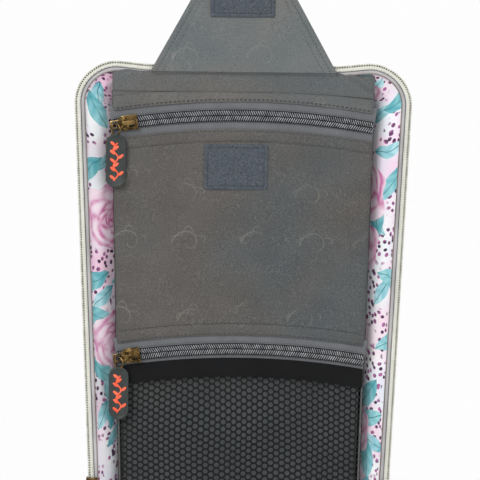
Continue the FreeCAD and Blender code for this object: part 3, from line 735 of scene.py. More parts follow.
def ribbon(name, length, lateral, width, front, thickness, cells, crown=0.0):
    # flat tape along +X; its UV map is in metres so that its ribs keep one size
    piece = sheetGrid(name, cells, (length * mm, width * mm), lambda u, v: Vector((
        u * length, lateral + (v - 0.5) * width, front - thickness / 2 + crown * math.sin(math.pi * v))) * mm)
    return thicken(piece, thickness)


def roundCord(name, length, radius, cuts):
    # a straight round cord along +X with enough rings to follow a path
    deselectAll()
    bpy.ops.mesh.primitive_grid_add(x_subdivisions=cuts, y_subdivisions=8, size=1, calc_uvs=True)
    piece = named(name)
    for vertex in piece.data.vertices:
        angle = (vertex.co.y + 0.5) * 2 * math.pi
        along = (vertex.co.x + 0.5) * length
        vertex.co = Vector((along, math.cos(angle) * radius, -math.sin(angle) * radius)) * mm
    editMesh(bpy.ops.mesh.remove_doubles, threshold=0.001 * mm)
    outward(piece)
    return piece


def stitchUnit(long, wide):
    deselectAll()
    bpy.ops.mesh.primitive_ico_sphere_add(subdivisions=1, radius=mm / 2)
    unit = bpy.context.object
    unit.scale = (long, wide, wide * 0.8)
    settle(unit)
    for polygon in unit.data.polygons:
        polygon.use_smooth = True
    return unit


stitch = {"long": 2.5, "wide": 0.42, "pitch": 3.1}


def stitchesAlong(name, points, front, size):
    path, length = pathOf(name + "Path", points)
    unit = stitchUnit(stitch["long"] * size, stitch["wide"] * size)
    count = max(2, int(length / (stitch["pitch"] * size)))
    step = length / count
    unit.location = (step / 2 * mm, 0, front * mm)
    settle(unit)
    unit.name = name
    return bend(repeat(unit, count, step), path)


def stitchedBox(name, low, high, front, inset, size):
    left, bottom = low[0] + inset, low[1] + inset
    right, top = high[0] - inset, high[1] - inset
    rows = [((left, bottom), (left, top)), ((left, top), (right, top)),
            ((right, top), (right, bottom)), ((right, bottom), (left, bottom))]
    return joinAll([stitchesAlong(name + str(index), row, front, size)
                    for index, row in enumerate(rows)], name)


# perimeter zip: tape, teeth and the binding inside it, in both halves
rimZip = {"tapeWidth": 1.7, "toothPitch": 1.5, "toothLong": 0.8, "toothWide": 1.3, "bindingWidth": 2.2}


def tapeRing():
    path, length = outlinePath("rimPath", 0, case["cornerRadius"])
    front = -case["tapeFront"]
    thickness = case["tapeBack"] - case["tapeFront"]
    width = rimZip["tapeWidth"]
    piece = ribbon("upperZipTape", length, -0.5 - width / 2, width, front, thickness, (420, 6), 0.25)
    bend(piece, path)
    # a sewn tape never lies quite flat
    for vertex in piece.data.vertices:
        lift = noise.noise(vertex.co * 32) * 0.5 + noise.noise(vertex.co * 90) * 0.15
        vertex.co.z += lift * mm
    return smooth(standRing(piece), 35)


def toothRow():
    path, length = outlinePath("teethPath", 0, case["cornerRadius"])
    tooth = block((rimZip["toothLong"], rimZip["toothWide"], 1.7), bevel=0.3, segments=1)
    count = int(length / rimZip["toothPitch"])
    step = length / count
    tooth.location = (step / 2 * mm, 0, planMiddle("upper_zip_teeth") * mm)
    settle(tooth)
    tooth.name = "upperZipTeeth"
    piece = bend(repeat(tooth, count, step), path)
    return smooth(standRing(piece), 50)


def filamentRing(name, lateral, radius):
    # round cords along the ring: the cord the teeth are sewn around, a seam line beside the binding, and dark
    # lines of painted shade in the tooth gaps and at the tape's seam
    path, length = outlinePath(name + "Path", 0, case["cornerRadius"])
    piece = roundCord(name, length, radius, 420)
    piece.location = (0, lateral * mm, planMiddle("upper_zip_teeth") * mm)
    settle(piece)
    bend(piece, path)
    return smooth(standRing(piece))


def bindingRing():
    path, length = outlinePath("bindingPath", 3.8, 21.4)
    piece = ribbon("upperBinding", length, 0, rimZip["bindingWidth"], -case["tapeBack"] - 0.1, 0.8,
                   (300, 4), 0.3)
    bend(piece, path)
    return standRing(piece)


def ringStitches(name, inset, radius, front):
    points = stretchPoints(caseOutline(inset, radius, case["foot"])[1:6], 30)
    return standRing(stitchesAlong(name, points, front, 0.8))


bothHalves = {}
bothHalves["ZipTape"] = (tapeRing(), "zip_tape", "ivory_tape", finish["ivoryTape"])
bothHalves["ZipTeeth"] = (toothRow(), "zip_teeth", "ivory_teeth", finish["ivoryTeeth"])
bothHalves["ZipCord"] = (filamentRing("upperZipCord", 0.75, 0.4), None, "ivory_teeth", finish["ivoryCord"])
# a near-black core inside the tooth row: painted shade in the gaps between the teeth
bothHalves["ZipCore"] = (filamentRing("upperZipCore", 0.1, 0.45), None, "coil", finish["coilBed"])
bothHalves["Binding"] = (bindingRing(), "binding", "taupe_binding", finish["binding"])
# a dark grey line in the gap between the tape and the binding: painted shade at the seam
bothHalves["SeamCord"] = (filamentRing("upperSeamCord", -2.45, 0.3), None, "taupe_binding",
                          finish["seamShade"])
bothHalves["BindingSeam"] = (filamentRing("upperBindingSeam", -5.0, 0.3), None, "taupe_binding",
                             finish["bindingSeam"])
bothHalves["TapeStitches"] = (ringStitches("upperTapeStitches", 1.9, 23.1, -case["tapeFront"] + 0.2),
                              None, "ivory_tape", finish["seamThread"])
print("perimeter zip")

# walls: the outer fabric, the fabric inside it, the panel and the piping
shell = {"innerSag": 1.0, "bulge": 1.2, "pipingRadius": 1.25, "panelThick": 1.5}


def wallSheet(name, rows, cells, thickness, sag, narrowing=0.0):
    # rows are (inset, depth, corner radius) from the zip to the back
    def place(u, v):
        spot = v * (len(rows) - 1)
        index = min(int(spot), len(rows) - 2)
        share = spot - index
        inset, depth, radius = [a + (b - a) * share for a, b in zip(rows[index], rows[index + 1])]
        ripple = 0.5 * math.sin(u * 41) + noise.noise((u * 26, v * 3, 2))
        inset += sag * math.sin(math.pi * v) * (0.6 + ripple)
        outline = caseOutline(inset, radius, case["foot"] + max(0.0, inset - case["lip"]) * 0.1)
        x, y = pointAt(outline, rimEnds, u)
        if narrowing:
            # the organiser's sides taper less than the case does
            near = case["lip"] - 0.2 + (inset - case["lip"] + 0.2) * (1 + narrowing * min(0.0, y))
            x, y = pointAt(caseOutline(near, radius, case["foot"] + (near - case["lip"]) * 0.1), rimEnds, u)
        return Vector((x, y, -depth)) * mm
    length = sum((Vector(rows[i + 1][:2]) - Vector(rows[i][:2])).length for i in range(len(rows) - 1))
    piece = sheetGrid(name, cells, (rimTotal * mm, length * mm), place)
    pick(piece)
    editMesh(bpy.ops.mesh.remove_doubles, threshold=0.01 * mm)
    outward(piece)
    thicken(piece, thickness)
    return smooth(standRing(piece))


def coverSheet(name, inset, radius, foot, front, thickness, bulge, cells=(90, 130), seed=0.0):
    # a panel with rounded top corners; bulge is how far its middle stands back
    high = case["rise"] - inset

    def place(u, v):
        height = foot + (high - foot) * (1 - (1 - v) ** 1.25)
        half = halfWidth(inset, radius, height)
        x = (u * 2 - 1) * half
        edge = min(1.0, min(half - abs(x), height - foot, high - height) / 16)
        soft = math.sin(edge * math.pi / 2)
        ripple = noise.noise((x * 0.018 + seed, height * 0.014, seed)) * 0.9
        return Vector((x, height, front - soft * bulge * (1 + ripple))) * mm
    piece = sheetGrid(name, cells, (2 * (case["rimHalf"] - inset) * mm, (high - foot) * mm), place)
    thicken(piece, thickness)
    return smooth(standRing(piece))


def pipingRing(name):
    path, length = outlinePath(name + "Path", case["lip"] + case["flare"] + 0.3, case["backRadius"], True)
    piece = roundCord(name, length, shell["pipingRadius"], 300)
    piece.location = (0, 0, -(case["boardBack"] + 0.6) * mm)
    settle(piece)
    bend(piece, path)
    return smooth(standRing(piece))


lip, flared = case["lip"], case["lip"] + case["flare"]
outerRows = [(lip - 2.0, case["tapeBack"] + 0.3, 21.0), (lip - 1.2, 7.5, 20.8), (lip + 2.6, 15, 19),
             (lip + 5.2, 23.5, 15.5), (flared - 0.6, 29.6, 12.8), (flared + 0.6, case["boardBack"] + 0.2, 12)]
innerRows = [(lip - 1.4, case["tapeBack"] + 1.0, 21.2), (lip + 0.6, 7.0, 19.8), (lip + 4.4, 9.6, 18),
             (lip + 8.0, 12.4, 14), (lip + 11.4, 15.2, 11), (lip + 14.3, 18.2, 8)]
bothHalves["Wall"] = (wallSheet("upperWall", outerRows, (420, 15), 1.0, -0.5),
                      "gusset", "floral_fabric", finish["floral"])
bothHalves["InnerWall"] = (wallSheet("upperInnerWall", innerRows, (420, 18), 0.5, shell["innerSag"], 0.00118),
                           None, "floral_fabric", finish["floral"])
bothHalves["Panel"] = (coverSheet("upperPanel", flared, case["backRadius"], case["foot"],
                                  -(case["boardBack"] + 0.8), shell["panelThick"], shell["bulge"]),
                       "panel", "floral_fabric", finish["floral"])
bothHalves["Piping"] = (pipingRing("upperPiping"), None, "ivory_tape", finish["piping"])
bothHalves["PanelStitches"] = (
    ringStitches("upperPanelStitches", flared + 4.2, 8.5, -(case["back"] + 0.35)), None, "ivory_tape",
    finish["seamThread"])

for ending, (piece, node, slotName, material) in bothHalves.items():
    other = turnedCopy(piece, piece.name.replace("upper", "lower"))
    for half, item in (("upper", piece), ("lower", other)):
        stands = ()
        if node == "panel":
            stands = ("upper_back_panel",) if half == "upper" else ("lower_cover_panel",)
        elif node:
            stands = (half + "_" + node,)
        finishPiece(item, half + "_half", material, stands)
print("walls and panels")


# organiser: facing, pocket panel, trim and mesh, with the two zips between them
organiser = {
    "half": 80.0, "taper": 0.0232, "arc": 469.0, "drops": (26.3, 169.0), "window": 8.5, "trim": 5.6,
    "trimWidth": 11.5, "bandWidth": 7.4, "edgeSeam": 1.3, "cloth": 1.1,
}
organiser["front"] = boxOf("pocket_panel")[0].y
organiser["back"] = boxOf("pocket_panel")[1].y
organiser["top"] = boxOf("top_facing")[1].z
organiser["foot"] = boxOf("mesh_hem")[0].z


def halfAt(height):
    return organiser["half"] + organiser["taper"] * height


def zipLine(x, zipIndex, offset):
    # height of the bowed line at a distance from the zip's middle line
    radius = organiser["arc"] + offset
    return math.sqrt(radius * radius - x * x) - organiser["arc"] - organiser["drops"][zipIndex]


def bowedPoints(zipIndex, offset, half, count=60):
    return [((i / count * 2 - 1) * half, zipLine((i / count * 2 - 1) * half, zipIndex, offset))
            for i in range(count + 1)]


def frontSheet(name, topLine, bottomLine, relief, cells, thickness, front, overhang=0.0):
    # topLine and bottomLine give a height for each x; relief gives the lift of the cloth at a place
    def place(u, v):
        side = u * 2 - 1
        x = side * (halfAt(topLine(0) * v + bottomLine(0) * (1 - v)) + overhang)
        high, low = topLine(x), bottomLine(x)
        y = low + (high - low) * v
        half = halfAt(y) + overhang
        x = side * half
        wrap = max(0.0, 1.6 - (half - abs(x))) / 1.6
        lift = relief(x, y, high - y, y - low) - wrap * wrap
        return Vector((x, y, lift - front - thickness / 2)) * mm
    wide = 2 * halfAt(topLine(0))
    piece = sheetGrid(name, cells, (wide * mm, (topLine(0) - bottomLine(0)) * mm), place)
    return thicken(piece, thickness)


def seamRelief(distance, width=0.8, depth=0.5):
    return -depth * math.exp(-(distance / width) ** 2)


def clothWaves(x, y, strength):
    broad = noise.noise((x * 0.021, y * 0.035, 1.0))
    return strength * (broad + 0.45 * noise.noise((x * 0.06, y * 0.05, 4.0)))


def facingRelief(x, y, fromTop, fromBottom):
    lift = clothWaves(x, y, 0.5)
    band = organiser["bandWidth"] + 0.012 * abs(x)
    lift += seamRelief(fromBottom - band) + (0.25 if fromBottom < band else 0.0)
    lift -= 0.5 * max(0.0, 1.2 - fromTop) ** 2
    # soft fold tucked in at the right top corner
    lift += seamRelief((x - 66) * 0.8 + (y + 8) * 0.9, 2.2, 1.0) * max(0.0, 1 - fromTop / 14) * (x > 40)
    return lift - 0.35 * max(0.0, 0.9 - fromBottom)


def panelRelief(x, y, fromTop, fromBottom):
    edge = min(fromTop, fromBottom, 22) / 22
    lift = clothWaves(x, y, 1.3) * edge
    band = organiser["bandWidth"]
    lift += seamRelief(fromTop - band) + (0.28 if fromTop < band else 0.0)
    lift += seamRelief(fromBottom - band + 1.0) + (0.28 if fromBottom < band - 1.0 else 0.0)
    # drag lines running in from the sides where the zips pull
    pull = math.exp(-((80 - abs(x)) / 26) ** 2)
    lift += pull * 0.35 * math.sin(y * 0.33 + x * 0.06) * edge
    return lift - 0.4 * max(0.0, 0.9 - min(fromTop, fromBottom))


front = organiser["front"]
zipOne, zipTwo = 0, 1
facing = frontSheet("topFacing", lambda x: organiser["top"] + 2.6,
                    lambda x: zipLine(x, zipOne, organiser["window"]), facingRelief, (150, 34),
                    organiser["cloth"], front, -1.0)
smooth(stand(facing))
finishPiece(facing, "upper_half", finish["facingLining"], ("top_facing",))
pocketPanel = frontSheet("pocketPanel", lambda x: zipLine(x, zipOne, -organiser["window"]),
                         lambda x: zipLine(x, zipTwo, organiser["window"]), panelRelief, (150, 150),
                         organiser["cloth"], front, -1.0)
smooth(stand(pocketPanel))
finishPiece(pocketPanel, "upper_half", finish["lining"], ("pocket_panel",))


def trimRelief(x, y, fromTop, fromBottom):
    return 0.35 * math.sin(math.pi * min(1.0, fromBottom / 11)) + clothWaves(x, y, 0.25)


trim = frontSheet("meshTrim", lambda x: zipLine(x, zipTwo, -organiser["trim"]),
                  lambda x: zipLine(x, zipTwo, -organiser["trim"] - organiser["trimWidth"]), trimRelief,
                  (120, 16), organiser["cloth"], front, -0.8)
smooth(stand(trim))
finishPiece(trim, "upper_half", finish["blackTrim"], ("mesh_trim",))
hemTop = organiser["foot"] + 8
hem = frontSheet("meshHem", lambda x: hemTop, lambda x: organiser["foot"], trimRelief, (90, 10),
                 organiser["cloth"], front)
smooth(stand(hem))
finishPiece(hem, "upper_half", finish["blackTrim"], ("mesh_hem",))

seams = (
    ("facingStitches", zipOne, organiser["window"] + 0.9, facingRelief),
    ("facingSeamStitches", zipOne, organiser["window"] + organiser["bandWidth"] - 6.0, facingRelief),
    ("panelTopStitches", zipOne, -organiser["window"] - 0.9, panelRelief),
    ("panelLowStitches", zipTwo, organiser["window"] + 0.9, panelRelief),
    ("panelFoldStitches", zipTwo, organiser["window"] + organiser["bandWidth"] - 0.2, panelRelief),
    ("trimTopStitches", zipTwo, -organiser["trim"] - 1.0, trimRelief),
    ("trimLowStitches", zipTwo, -organiser["trim"] - organiser["trimWidth"] + 1.2, trimRelief),
)
for name, zipIndex, offset, relief in seams:
    half = halfAt(-organiser["drops"][zipIndex]) - organiser["edgeSeam"] - 1.0
    row = stitchesAlong(name, bowedPoints(zipIndex, offset, half), -front + 0.05, 0.85)
    inFrom = abs(offset) - (organiser["trim"] if name.startswith("trim") else organiser["window"])
    for vertex in row.data.vertices:
        x, y = vertex.co.x / mm, vertex.co.y / mm
        vertex.co.z += relief(x, y, 40 if offset > 0 else inFrom, inFrom if offset > 0 else 40) * mm
    stand(row)
    slotName = "black_trim" if name.startswith("trim") else "grey_lining"
    finishPiece(row, "upper_half", finish["blackTrim" if name.startswith("trim") else "thread"])
print("organiser front")


# pocket zips
pocketZip = {
    "toothPitch": 1.36, "toothWide": 3.3, "toothLong": 0.6, "toothHigh": 1.3, "slant": 27.0,
    "coilAside": 1.66, "shadeBedWide": 6.4, "tapeWide": 11.4, "tapeThick": 0.55, "tapeAside": 6.3, "cordRadius": 0.28,
    "cordAside": 3.25, "stitchAside": 4.3,
}


def pocketZipRows(zipIndex, label):
    half = halfAt(-organiser["drops"][zipIndex]) - 1.1
    path, length = pathOf(label, bowedPoints(zipIndex, 0, half))
    # a near-black strip under the coil: painted shade between the coil loops, where the grey tape would show
    shadeBed = ribbon(label + "CoilBed", length, 0, pocketZip["shadeBedWide"],
                 -boxOf(label + "_coil_upper")[1].y + 0.35, 0.3, (160, 4))
    bend(shadeBed, path)
    stand(shadeBed)
    finishPiece(shadeBed, "upper_half", finish["coilBed"])
    tapeHeight = -boxOf(label + "_tape_upper")[0].y
    coilHeight = -boxOf(label + "_coil_upper")[0].y
    for side, sign in (("upper", 1), ("lower", -1)):
        path, length = pathOf(label + side, bowedPoints(zipIndex, 0, half + 0.9))
        tape = ribbon(label + side.capitalize() + "Tape", length, sign * pocketZip["tapeAside"],
                      pocketZip["tapeWide"], tapeHeight, pocketZip["tapeThick"], (160, 14), 0.12)
        bend(tape, path)
        smooth(stand(tape), 35)
        finishPiece(tape, "upper_half", finish["greyTape"], (label + "_tape_" + side,))
        # each loop of the coil is a small slanted bead
        path, length = pathOf(label + side, bowedPoints(zipIndex, 0, half))
        bead = block((pocketZip["toothLong"], pocketZip["toothWide"], pocketZip["toothHigh"]),
                     bevel=0.26, segments=1)
        bead.rotation_euler = (0, 0, math.radians(sign * pocketZip["slant"]))
        count = int(length / pocketZip["toothPitch"])
        step = length / count
        bead.location = (step * (0.5 if sign > 0 else 1.0) * mm, sign * pocketZip["coilAside"] * mm,
                         planMiddle(label + "_coil_upper") * mm)
        settle(bead)
        bead.name = label + side.capitalize() + "Coil"
        coil = bend(repeat(bead, count, step), path)
        smooth(stand(coil), 50)
        finishPiece(coil, "upper_half", finish["coil"], (label + "_coil_" + side,))
        # sewing cord that holds the coil down, in the near-black of the painted shade bed
        path, length = pathOf(label + side, bowedPoints(zipIndex, 0, half))
        cord = roundCord(label + side.capitalize() + "CoilCord", length, pocketZip["cordRadius"], 160)
        cord.location = (0, sign * pocketZip["cordAside"] * mm, (coilHeight - 0.45) * mm)
        settle(cord)
        bend(cord, path)
        smooth(stand(cord))
        finishPiece(cord, "upper_half", finish["coilBed"])
        ridge = bowedPoints(zipIndex, sign * pocketZip["stitchAside"], half)
        row = stand(stitchesAlong(label + side.capitalize() + "TapeStitches", ridge,
                                  tapeHeight + 0.1, 0.5))
        finishPiece(row, "upper_half", finish["thread"])


pocketZipRows(zipOne, "zip1")
pocketZipRows(zipTwo, "zip2")
print("pocket zips")

# net with six-sided holes
net = {"columnStep": 3.35, "rowStep": 4.15, "hole": 1.52, "cord": 0.55}


def netSheet(name, low, high, keepInside, heightAt, drift, sides=12):
    # one cell, a hexagon with a rounded hole, repeated over the whole cloth and then trimmed
    stepX, stepY = net["columnStep"], net["rowStep"]
    deselectAll()
    bpy.ops.mesh.primitive_circle_add(vertices=6, radius=stepX / 1.5 * mm, fill_type="NOTHING",
                                      rotation=(0, 0, math.radians(30)))
    cell = named(name)
    settle(cell)
    for vertex in cell.data.vertices:
        vertex.co.y *= stepY / 2 * mm / (stepX / 1.5 * math.sqrt(3) / 2 * mm)
    if sides == 12:
        editMesh(bpy.ops.mesh.subdivide, number_cuts=1)
    deselectAll()
    bpy.ops.mesh.primitive_circle_add(vertices=sides, radius=net["hole"] * mm, fill_type="NOTHING",
                                      rotation=(0, 0, math.radians(30 if sides == 6 else 0)))
    hole = settle(bpy.context.object)
    cell = joinAll([cell, hole], name)
    editMesh(bpy.ops.mesh.bridge_edge_loops)
    # two neighbouring cells make the unit that repeats
    pick(cell)
    addArray(cell, "pair", 2, (stepX, stepY / 2, 0))
    addArray(cell, "across", int((high[0] - low[0]) / stepX / 2) + 2, (2 * stepX, 0, 0))
    addArray(cell, "up", int((high[1] - low[1]) / stepY) + 2, (0, stepY, 0))
    applyAll(cell)
    cell.location = (low[0] * mm, (low[1] - stepY) * mm, 0)
    settle(cell)
    bpy.ops.object.mode_set(mode="EDIT")
    bpy.ops.mesh.select_all(action="SELECT")
    bpy.ops.mesh.remove_doubles(threshold=0.00002)
    bpy.ops.mesh.select_all(action="DESELECT")
    bpy.ops.object.mode_set(mode="OBJECT")
    for polygon in cell.data.polygons:
        centre = polygon.center / mm
        polygon.select = not keepInside(centre.x, centre.y)
    bpy.ops.object.mode_set(mode="EDIT")
    bpy.ops.mesh.delete(type="FACE")
    bpy.ops.object.mode_set(mode="OBJECT")
    for vertex in cell.data.vertices:
        x, y = vertex.co.x / mm, vertex.co.y / mm
        moved = drift(x, y)
        vertex.co = Vector((moved[0], moved[1], heightAt(*moved))) * mm
    outward(cell)
    thicken(cell, net["cord"])
    smooth(stand(cell), 50)
    return cell


netFront = boxOf("mesh_panel")[0].y
netFoot = organiser["foot"]
netTop = zipLine(0, zipTwo, -12.6)


def netInside(x, y):
    return netFoot + 1 < y < netTop and abs(x) < halfAt(y) + 0.1


def netDrift(x, y):
    # the rows bow with the trim above them and wander where the cloth is slack
    up = (y - netFoot) / (netTop - netFoot)
    slack = max(0.0, 1 - (x / 76) ** 2) * math.sin(math.pi * max(0.0, min(1.0, up)))
    aside = 2.4 * noise.noise((x * 0.022, y * 0.02, 5.0)) * slack
    along = 2.4 * noise.noise((x * 0.02, y * 0.024, 8.0)) * slack
    return x + aside, y + along + (zipLine(x, zipTwo, 0) - zipLine(0, zipTwo, 0)) * up


def netLift(x, y):
    across = max(0.0, 1 - (x / 76) ** 2)
    down = max(0.0, min(1.0, (y - netFoot) / 60)) * max(0.0, min(1.0, (-185 - y) / 22))
    return -netFront - 0.5 + across * down * 2.0 + clothWaves(x, y, 0.35) * across


upperNet = netSheet("meshPanel", (-81, netFoot), (81, -176), netInside, netLift, netDrift)
finishPiece(upperNet, "upper_half", finish["mesh"], ("mesh_panel",))
print("net")

# cloths behind the front: flat sheets with a little slack
inner = {"slack": 0.5, "cloth": 1.0, "overhang": -2.4}


def innerSheet(name, topLine, depth):
    sheet = frontSheet(name, topLine, lambda x: netFoot, lambda x, y, a, b: clothWaves(x, y, inner["slack"]),
                       (60, 70), inner["cloth"], depth, inner["overhang"])
    smooth(stand(sheet))
    return sheet


lining = innerSheet("meshLining", lambda x: zipLine(x, zipTwo, 0), boxOf("mesh_lining")[0].y)
finishPiece(lining, "upper_half", finish["netLining"], ("mesh_lining",))
for name, node in (("pocketDivider", "pocket_divider"), ("organiserBacking", "organiser_backing")):
    sheet = innerSheet(name, lambda x: -12.0, boxOf(node)[0].y)
    finishPiece(sheet, "upper_half", finish["lining"], (node,))


def sideSheet(name, node, sign):
    low, high = boxOf(node)

    def place(u, v):
        y = low.z + (high.z - low.z) * v
        depth = low.y + (high.y - low.y) * u
        bow = 0.5 * math.sin(math.pi * u) * noise.noise((y * 0.03, 0, sign))
        return Vector((sign * (halfAt(y) - 0.6 - bow), y, -depth)) * mm
    sheet = sheetGrid(name, (16, 120), ((high.y - low.y) * mm, (high.z - low.z) * mm), place)
    outward(sheet)
    thicken(sheet, 1.0)
    smooth(stand(sheet))
    finishPiece(sheet, "upper_half", finish["lining"], (node,))


sideSheet("organiserSideLeft", "organiser_side_left", -1)
sideSheet("organiserSideRight", "organiser_side_right", 1)
print("linings")


# hook-and-loop patches
def pilePatch(name, node, body):
    low, high = boxOf(node)
    size = (high.x - low.x, high.z - low.z)

    def place(u, v):
        x, y = low.x + size[0] * u, low.z + size[1] * v
        edge = min(x - low.x, high.x - x, y - low.z, high.z - y)
        sewn = seamRelief(edge - 1.9, 0.45, 0.45)
        rounded = -0.5 * max(0.0, 1 - edge / 0.8) ** 2
        fluff = 0.16 * noise.noise((x * 2.1, y * 2.1, 0)) + 0.1 * noise.noise((x * 5.3, y * 5.3, 9))
        return Vector((x, y, -low.y - 0.75 + sewn + rounded + fluff)) * mm
    patch = sheetGrid(name, (110, 80), (size[0] * mm, size[1] * mm), place)
    thicken(patch, 0.9)
    smooth(stand(patch))
    finishPiece(patch, body, finish["pile"], (node,))
    rows = stand(stitchedBox(name + "Stitches", (low.x, low.z), (high.x, high.z), -low.y - 0.55, 1.9, 0.75))
    finishPiece(rows, body, finish["pileThread"])


pilePatch("panelPatch", "panel_patch", "upper_half")
pilePatch("flapPatch", "flap_patch", "hanging_flap")
print("patches")

# hanging flap, its fold and the strip it is sewn to
flap = {"baseHalf": 56.0, "tipHalf": 23.0, "side": 59.0, "length": 80.0, "round": 12.0, "puff": 0.55}


def flapHalf(height):
    share = min(1.0, height / flap["side"])
    half = flap["baseHalf"] + (flap["tipHalf"] - flap["baseHalf"]) * share
    over = height - (flap["length"] - flap["round"])
    if over > 0:
        half -= flap["round"] - math.sqrt(max(0.0, flap["round"] ** 2 - over ** 2))
    return half


def flapSheet(name, frontSign):
    def place(u, v):
        y = flap["length"] * v
        half = flapHalf(y)
        x = (u * 2 - 1) * half
        edge = min(half - abs(x), flap["length"] - y)
        lift = 0.95 - 0.6 * max(0.0, 1 - edge / 1.6) ** 2
        lift += seamRelief(edge - 3.4, 0.7, 0.5) + seamRelief(edge - 7.2, 0.7, 0.45)
        lift += flap["puff"] * noise.noise((x * 0.045, y * 0.05, frontSign)) * min(1.0, edge / 9)
        return Vector((x, y, frontSign * lift * 0.9)) * mm
    return sheetGrid(name, (110, 110), (2 * flap["baseHalf"] * mm, flap["length"] * mm), place)


flapPiece = joinAll([flapSheet("flapPanel", 1), flapSheet("flapBack", -1)], "flapPanel")
bpy.ops.object.mode_set(mode="EDIT")
bpy.ops.mesh.select_all(action="DESELECT")
bpy.ops.mesh.select_mode(type="EDGE")
bpy.ops.mesh.select_non_manifold(extend=False)
bpy.ops.mesh.bridge_edge_loops()
bpy.ops.object.mode_set(mode="OBJECT")
outward(flapPiece)
smooth(stand(flapPiece))
finishPiece(flapPiece, "hanging_flap", finish["flapLining"], ("flap_panel",))


def flapStitches(name, inset):
    left = []
    for step in range(61):
        y = (flap["length"] - inset) * step / 60
        left.append((-(flapHalf(y) - inset * 1.1), y))
    right = [(-x, y) for x, y in reversed(left)]
    rows = joinAll([stitchesAlong(name + "Left", left, 0.72, 0.75),
                    stitchesAlong(name + "Right", right, 0.72, 0.75),
                    stitchesAlong(name + "Tip", [left[-1], right[0]], 0.72, 0.75)], name)
    stand(rows)
    finishPiece(rows, "hanging_flap", finish["thread"])


flapStitches("flapStitches", 3.4)
flapStitches("flapInnerStitches", 7.2)

foldLine = {"low": -7.0, "high": 4.0}


def foldStrip():
    def place(u, v):
        y = foldLine["low"] + (foldLine["high"] - foldLine["low"]) * v
        x = (u * 2 - 1) * (flap["baseHalf"] - 0.3 - max(0.0, y) * 0.56)
        # flat against the flap above, and leaning back under the facing below
        back = 0.1 + 3.6 * max(0.0, min(1.0, (1.6 - y) / 4.2)) ** 0.8
        return Vector((x, y, -back + 0.2 * noise.noise((x * 0.1, y * 0.3, 3)))) * mm
    strip = sheetGrid("flapFold", (90, 20), (0.112, 0.011), place)
    thicken(strip, 1.1)
    smooth(stand(strip))
    paint(strip, finish["flapLining"])
    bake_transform(strip)


foldStrip()
anchorFoot = boxOf("flap_anchor")[0].z


def topBand():
    # doubled cloth across the organiser's top edge; the flap comes out from behind it
    def relief(x, y, fromTop, fromBottom):
        lift = clothWaves(x, y, 0.35) - 0.5 * max(0.0, 1.3 - fromTop) ** 2 - 0.35 * max(0.0, 0.8 - fromBottom)
        lift += 1.5 * max(0.0, 1 - (abs(x) / 66) ** 4) * min(1.0, fromBottom / 7)
        return lift + seamRelief((x - 67) * 0.75 + (y + 5) * 1.1, 1.5, 0.9) * (x > 45)
    strip = frontSheet("flapAnchor",
                       lambda x: (0.5 - 0.0003 * x * x - 3.4 * math.exp(-((x - 75) / 5.5) ** 2)
                                  + 1.7 * math.exp(-((x + 71) / 7) ** 2)),
                       lambda x: anchorFoot - 0.0008 * max(0.0, x - 15) ** 2,
                       relief, (150, 20), 0.9, organiser["front"] - 0.95, -1.0)
    smooth(stand(strip))
    finishPiece(strip, "upper_half", finish["facingLining"], ("flap_anchor",))


topBand()
print("flap")


# sliders, links, rings and tabs of the pocket zips; each is modelled flat and then put in place
pull = {"linkLong": 11.2, "linkWide": 5.4, "tabRim": 1.25, "tabDip": 0.35,
        "motifHalf": 11.5, "wave": 1.5, "waves": 7.2}


def squeeze(piece, centreX, share):
    # narrows the end of a plate that lies left of centreX
    for vertex in piece.data.vertices:
        if vertex.co.x < centreX * mm:
            vertex.co.y *= share


def bevelEdges(piece, width, segments=2):
    rounding = piece.modifiers.new("rounding", "BEVEL")
    rounding.width = width * mm
    rounding.segments = segments
    rounding.limit_method = "ANGLE"
    return applyAll(piece)


def cutSlot(piece, cutter):
    pick(piece)
    slot = piece.modifiers.new("slot", "BOOLEAN")
    slot.operation = "DIFFERENCE"
    slot.object = cutter
    bpy.ops.object.modifier_apply(modifier=slot.name)
    bpy.data.objects.remove(cutter)


def setDown(piece, place, turn=0.0):
    # turn and place on the plan, then stand it up with the bag
    pick(piece)
    piece.rotation_euler = (0, 0, turn)
    piece.location = (place[0] * mm, place[1] * mm, 0)
    settle(piece)
    return stand(piece)


sliderSize = {
    "front": 3.1, "plate": (11.6, 9.6, 1.3), "nose": 0.66, "slot": (6.6, 1.3, 3), "cheek": (9.2, 1.1, 1.7),
    "base": (11.2, 9.0, 0.9), "bridge": (5.4, 0.4, 4.2), "arch": (7.8, 2.7, 3.4),
    "opening": (5.2, 4.0, 2.1), "rail": (7.6, 0.7, 0.5),
}


def sliderBody(name, node, turn, body):
    # top is the front of the plate
    top = -(boxOf(node)[0].y + sliderSize["front"])
    plate = block(sliderSize["plate"], (0, 0, top - 0.65))
    squeeze(plate, 0, sliderSize["nose"])
    # a slot beside the bridge, where the near-black painted shade bed under the coil shows through
    cutSlot(plate, block(sliderSize["slot"], (0.9, -1.95, top - 0.65), 0.4, 3))
    bevelEdges(plate, 0.4, 3)
    bits = [plate]
    for side in (-1, 1):
        bits.append(block(sliderSize["cheek"], (0.8, side * 3.95, top - 2.0), 0.25))
    bits.append(block(sliderSize["base"], (0, 0, top - 5.1), 0.3))
    bits.append(block(sliderSize["bridge"], (0, 0, top - 3.0), 0.1))
    # the bridge is an arch with rounded shoulders
    arch = block(sliderSize["arch"], (0.6, 0, top + 1.4))
    cutSlot(arch, block(sliderSize["opening"], (0.4, 0, top + 1.05), 0.5, 3))
    bits.append(bevelEdges(arch, 0.5, 3))
    # raised rails along the plate
    for side in (-1, 1):
        bits.append(block(sliderSize["rail"], (0.9, side * 2.9, top + 0.1), 0.2))
    piece = joinAll(bits, name)
    smooth(setDown(piece, planCentre(node), turn), 40)
    finishPiece(piece, body, finish["brass"], (node,))


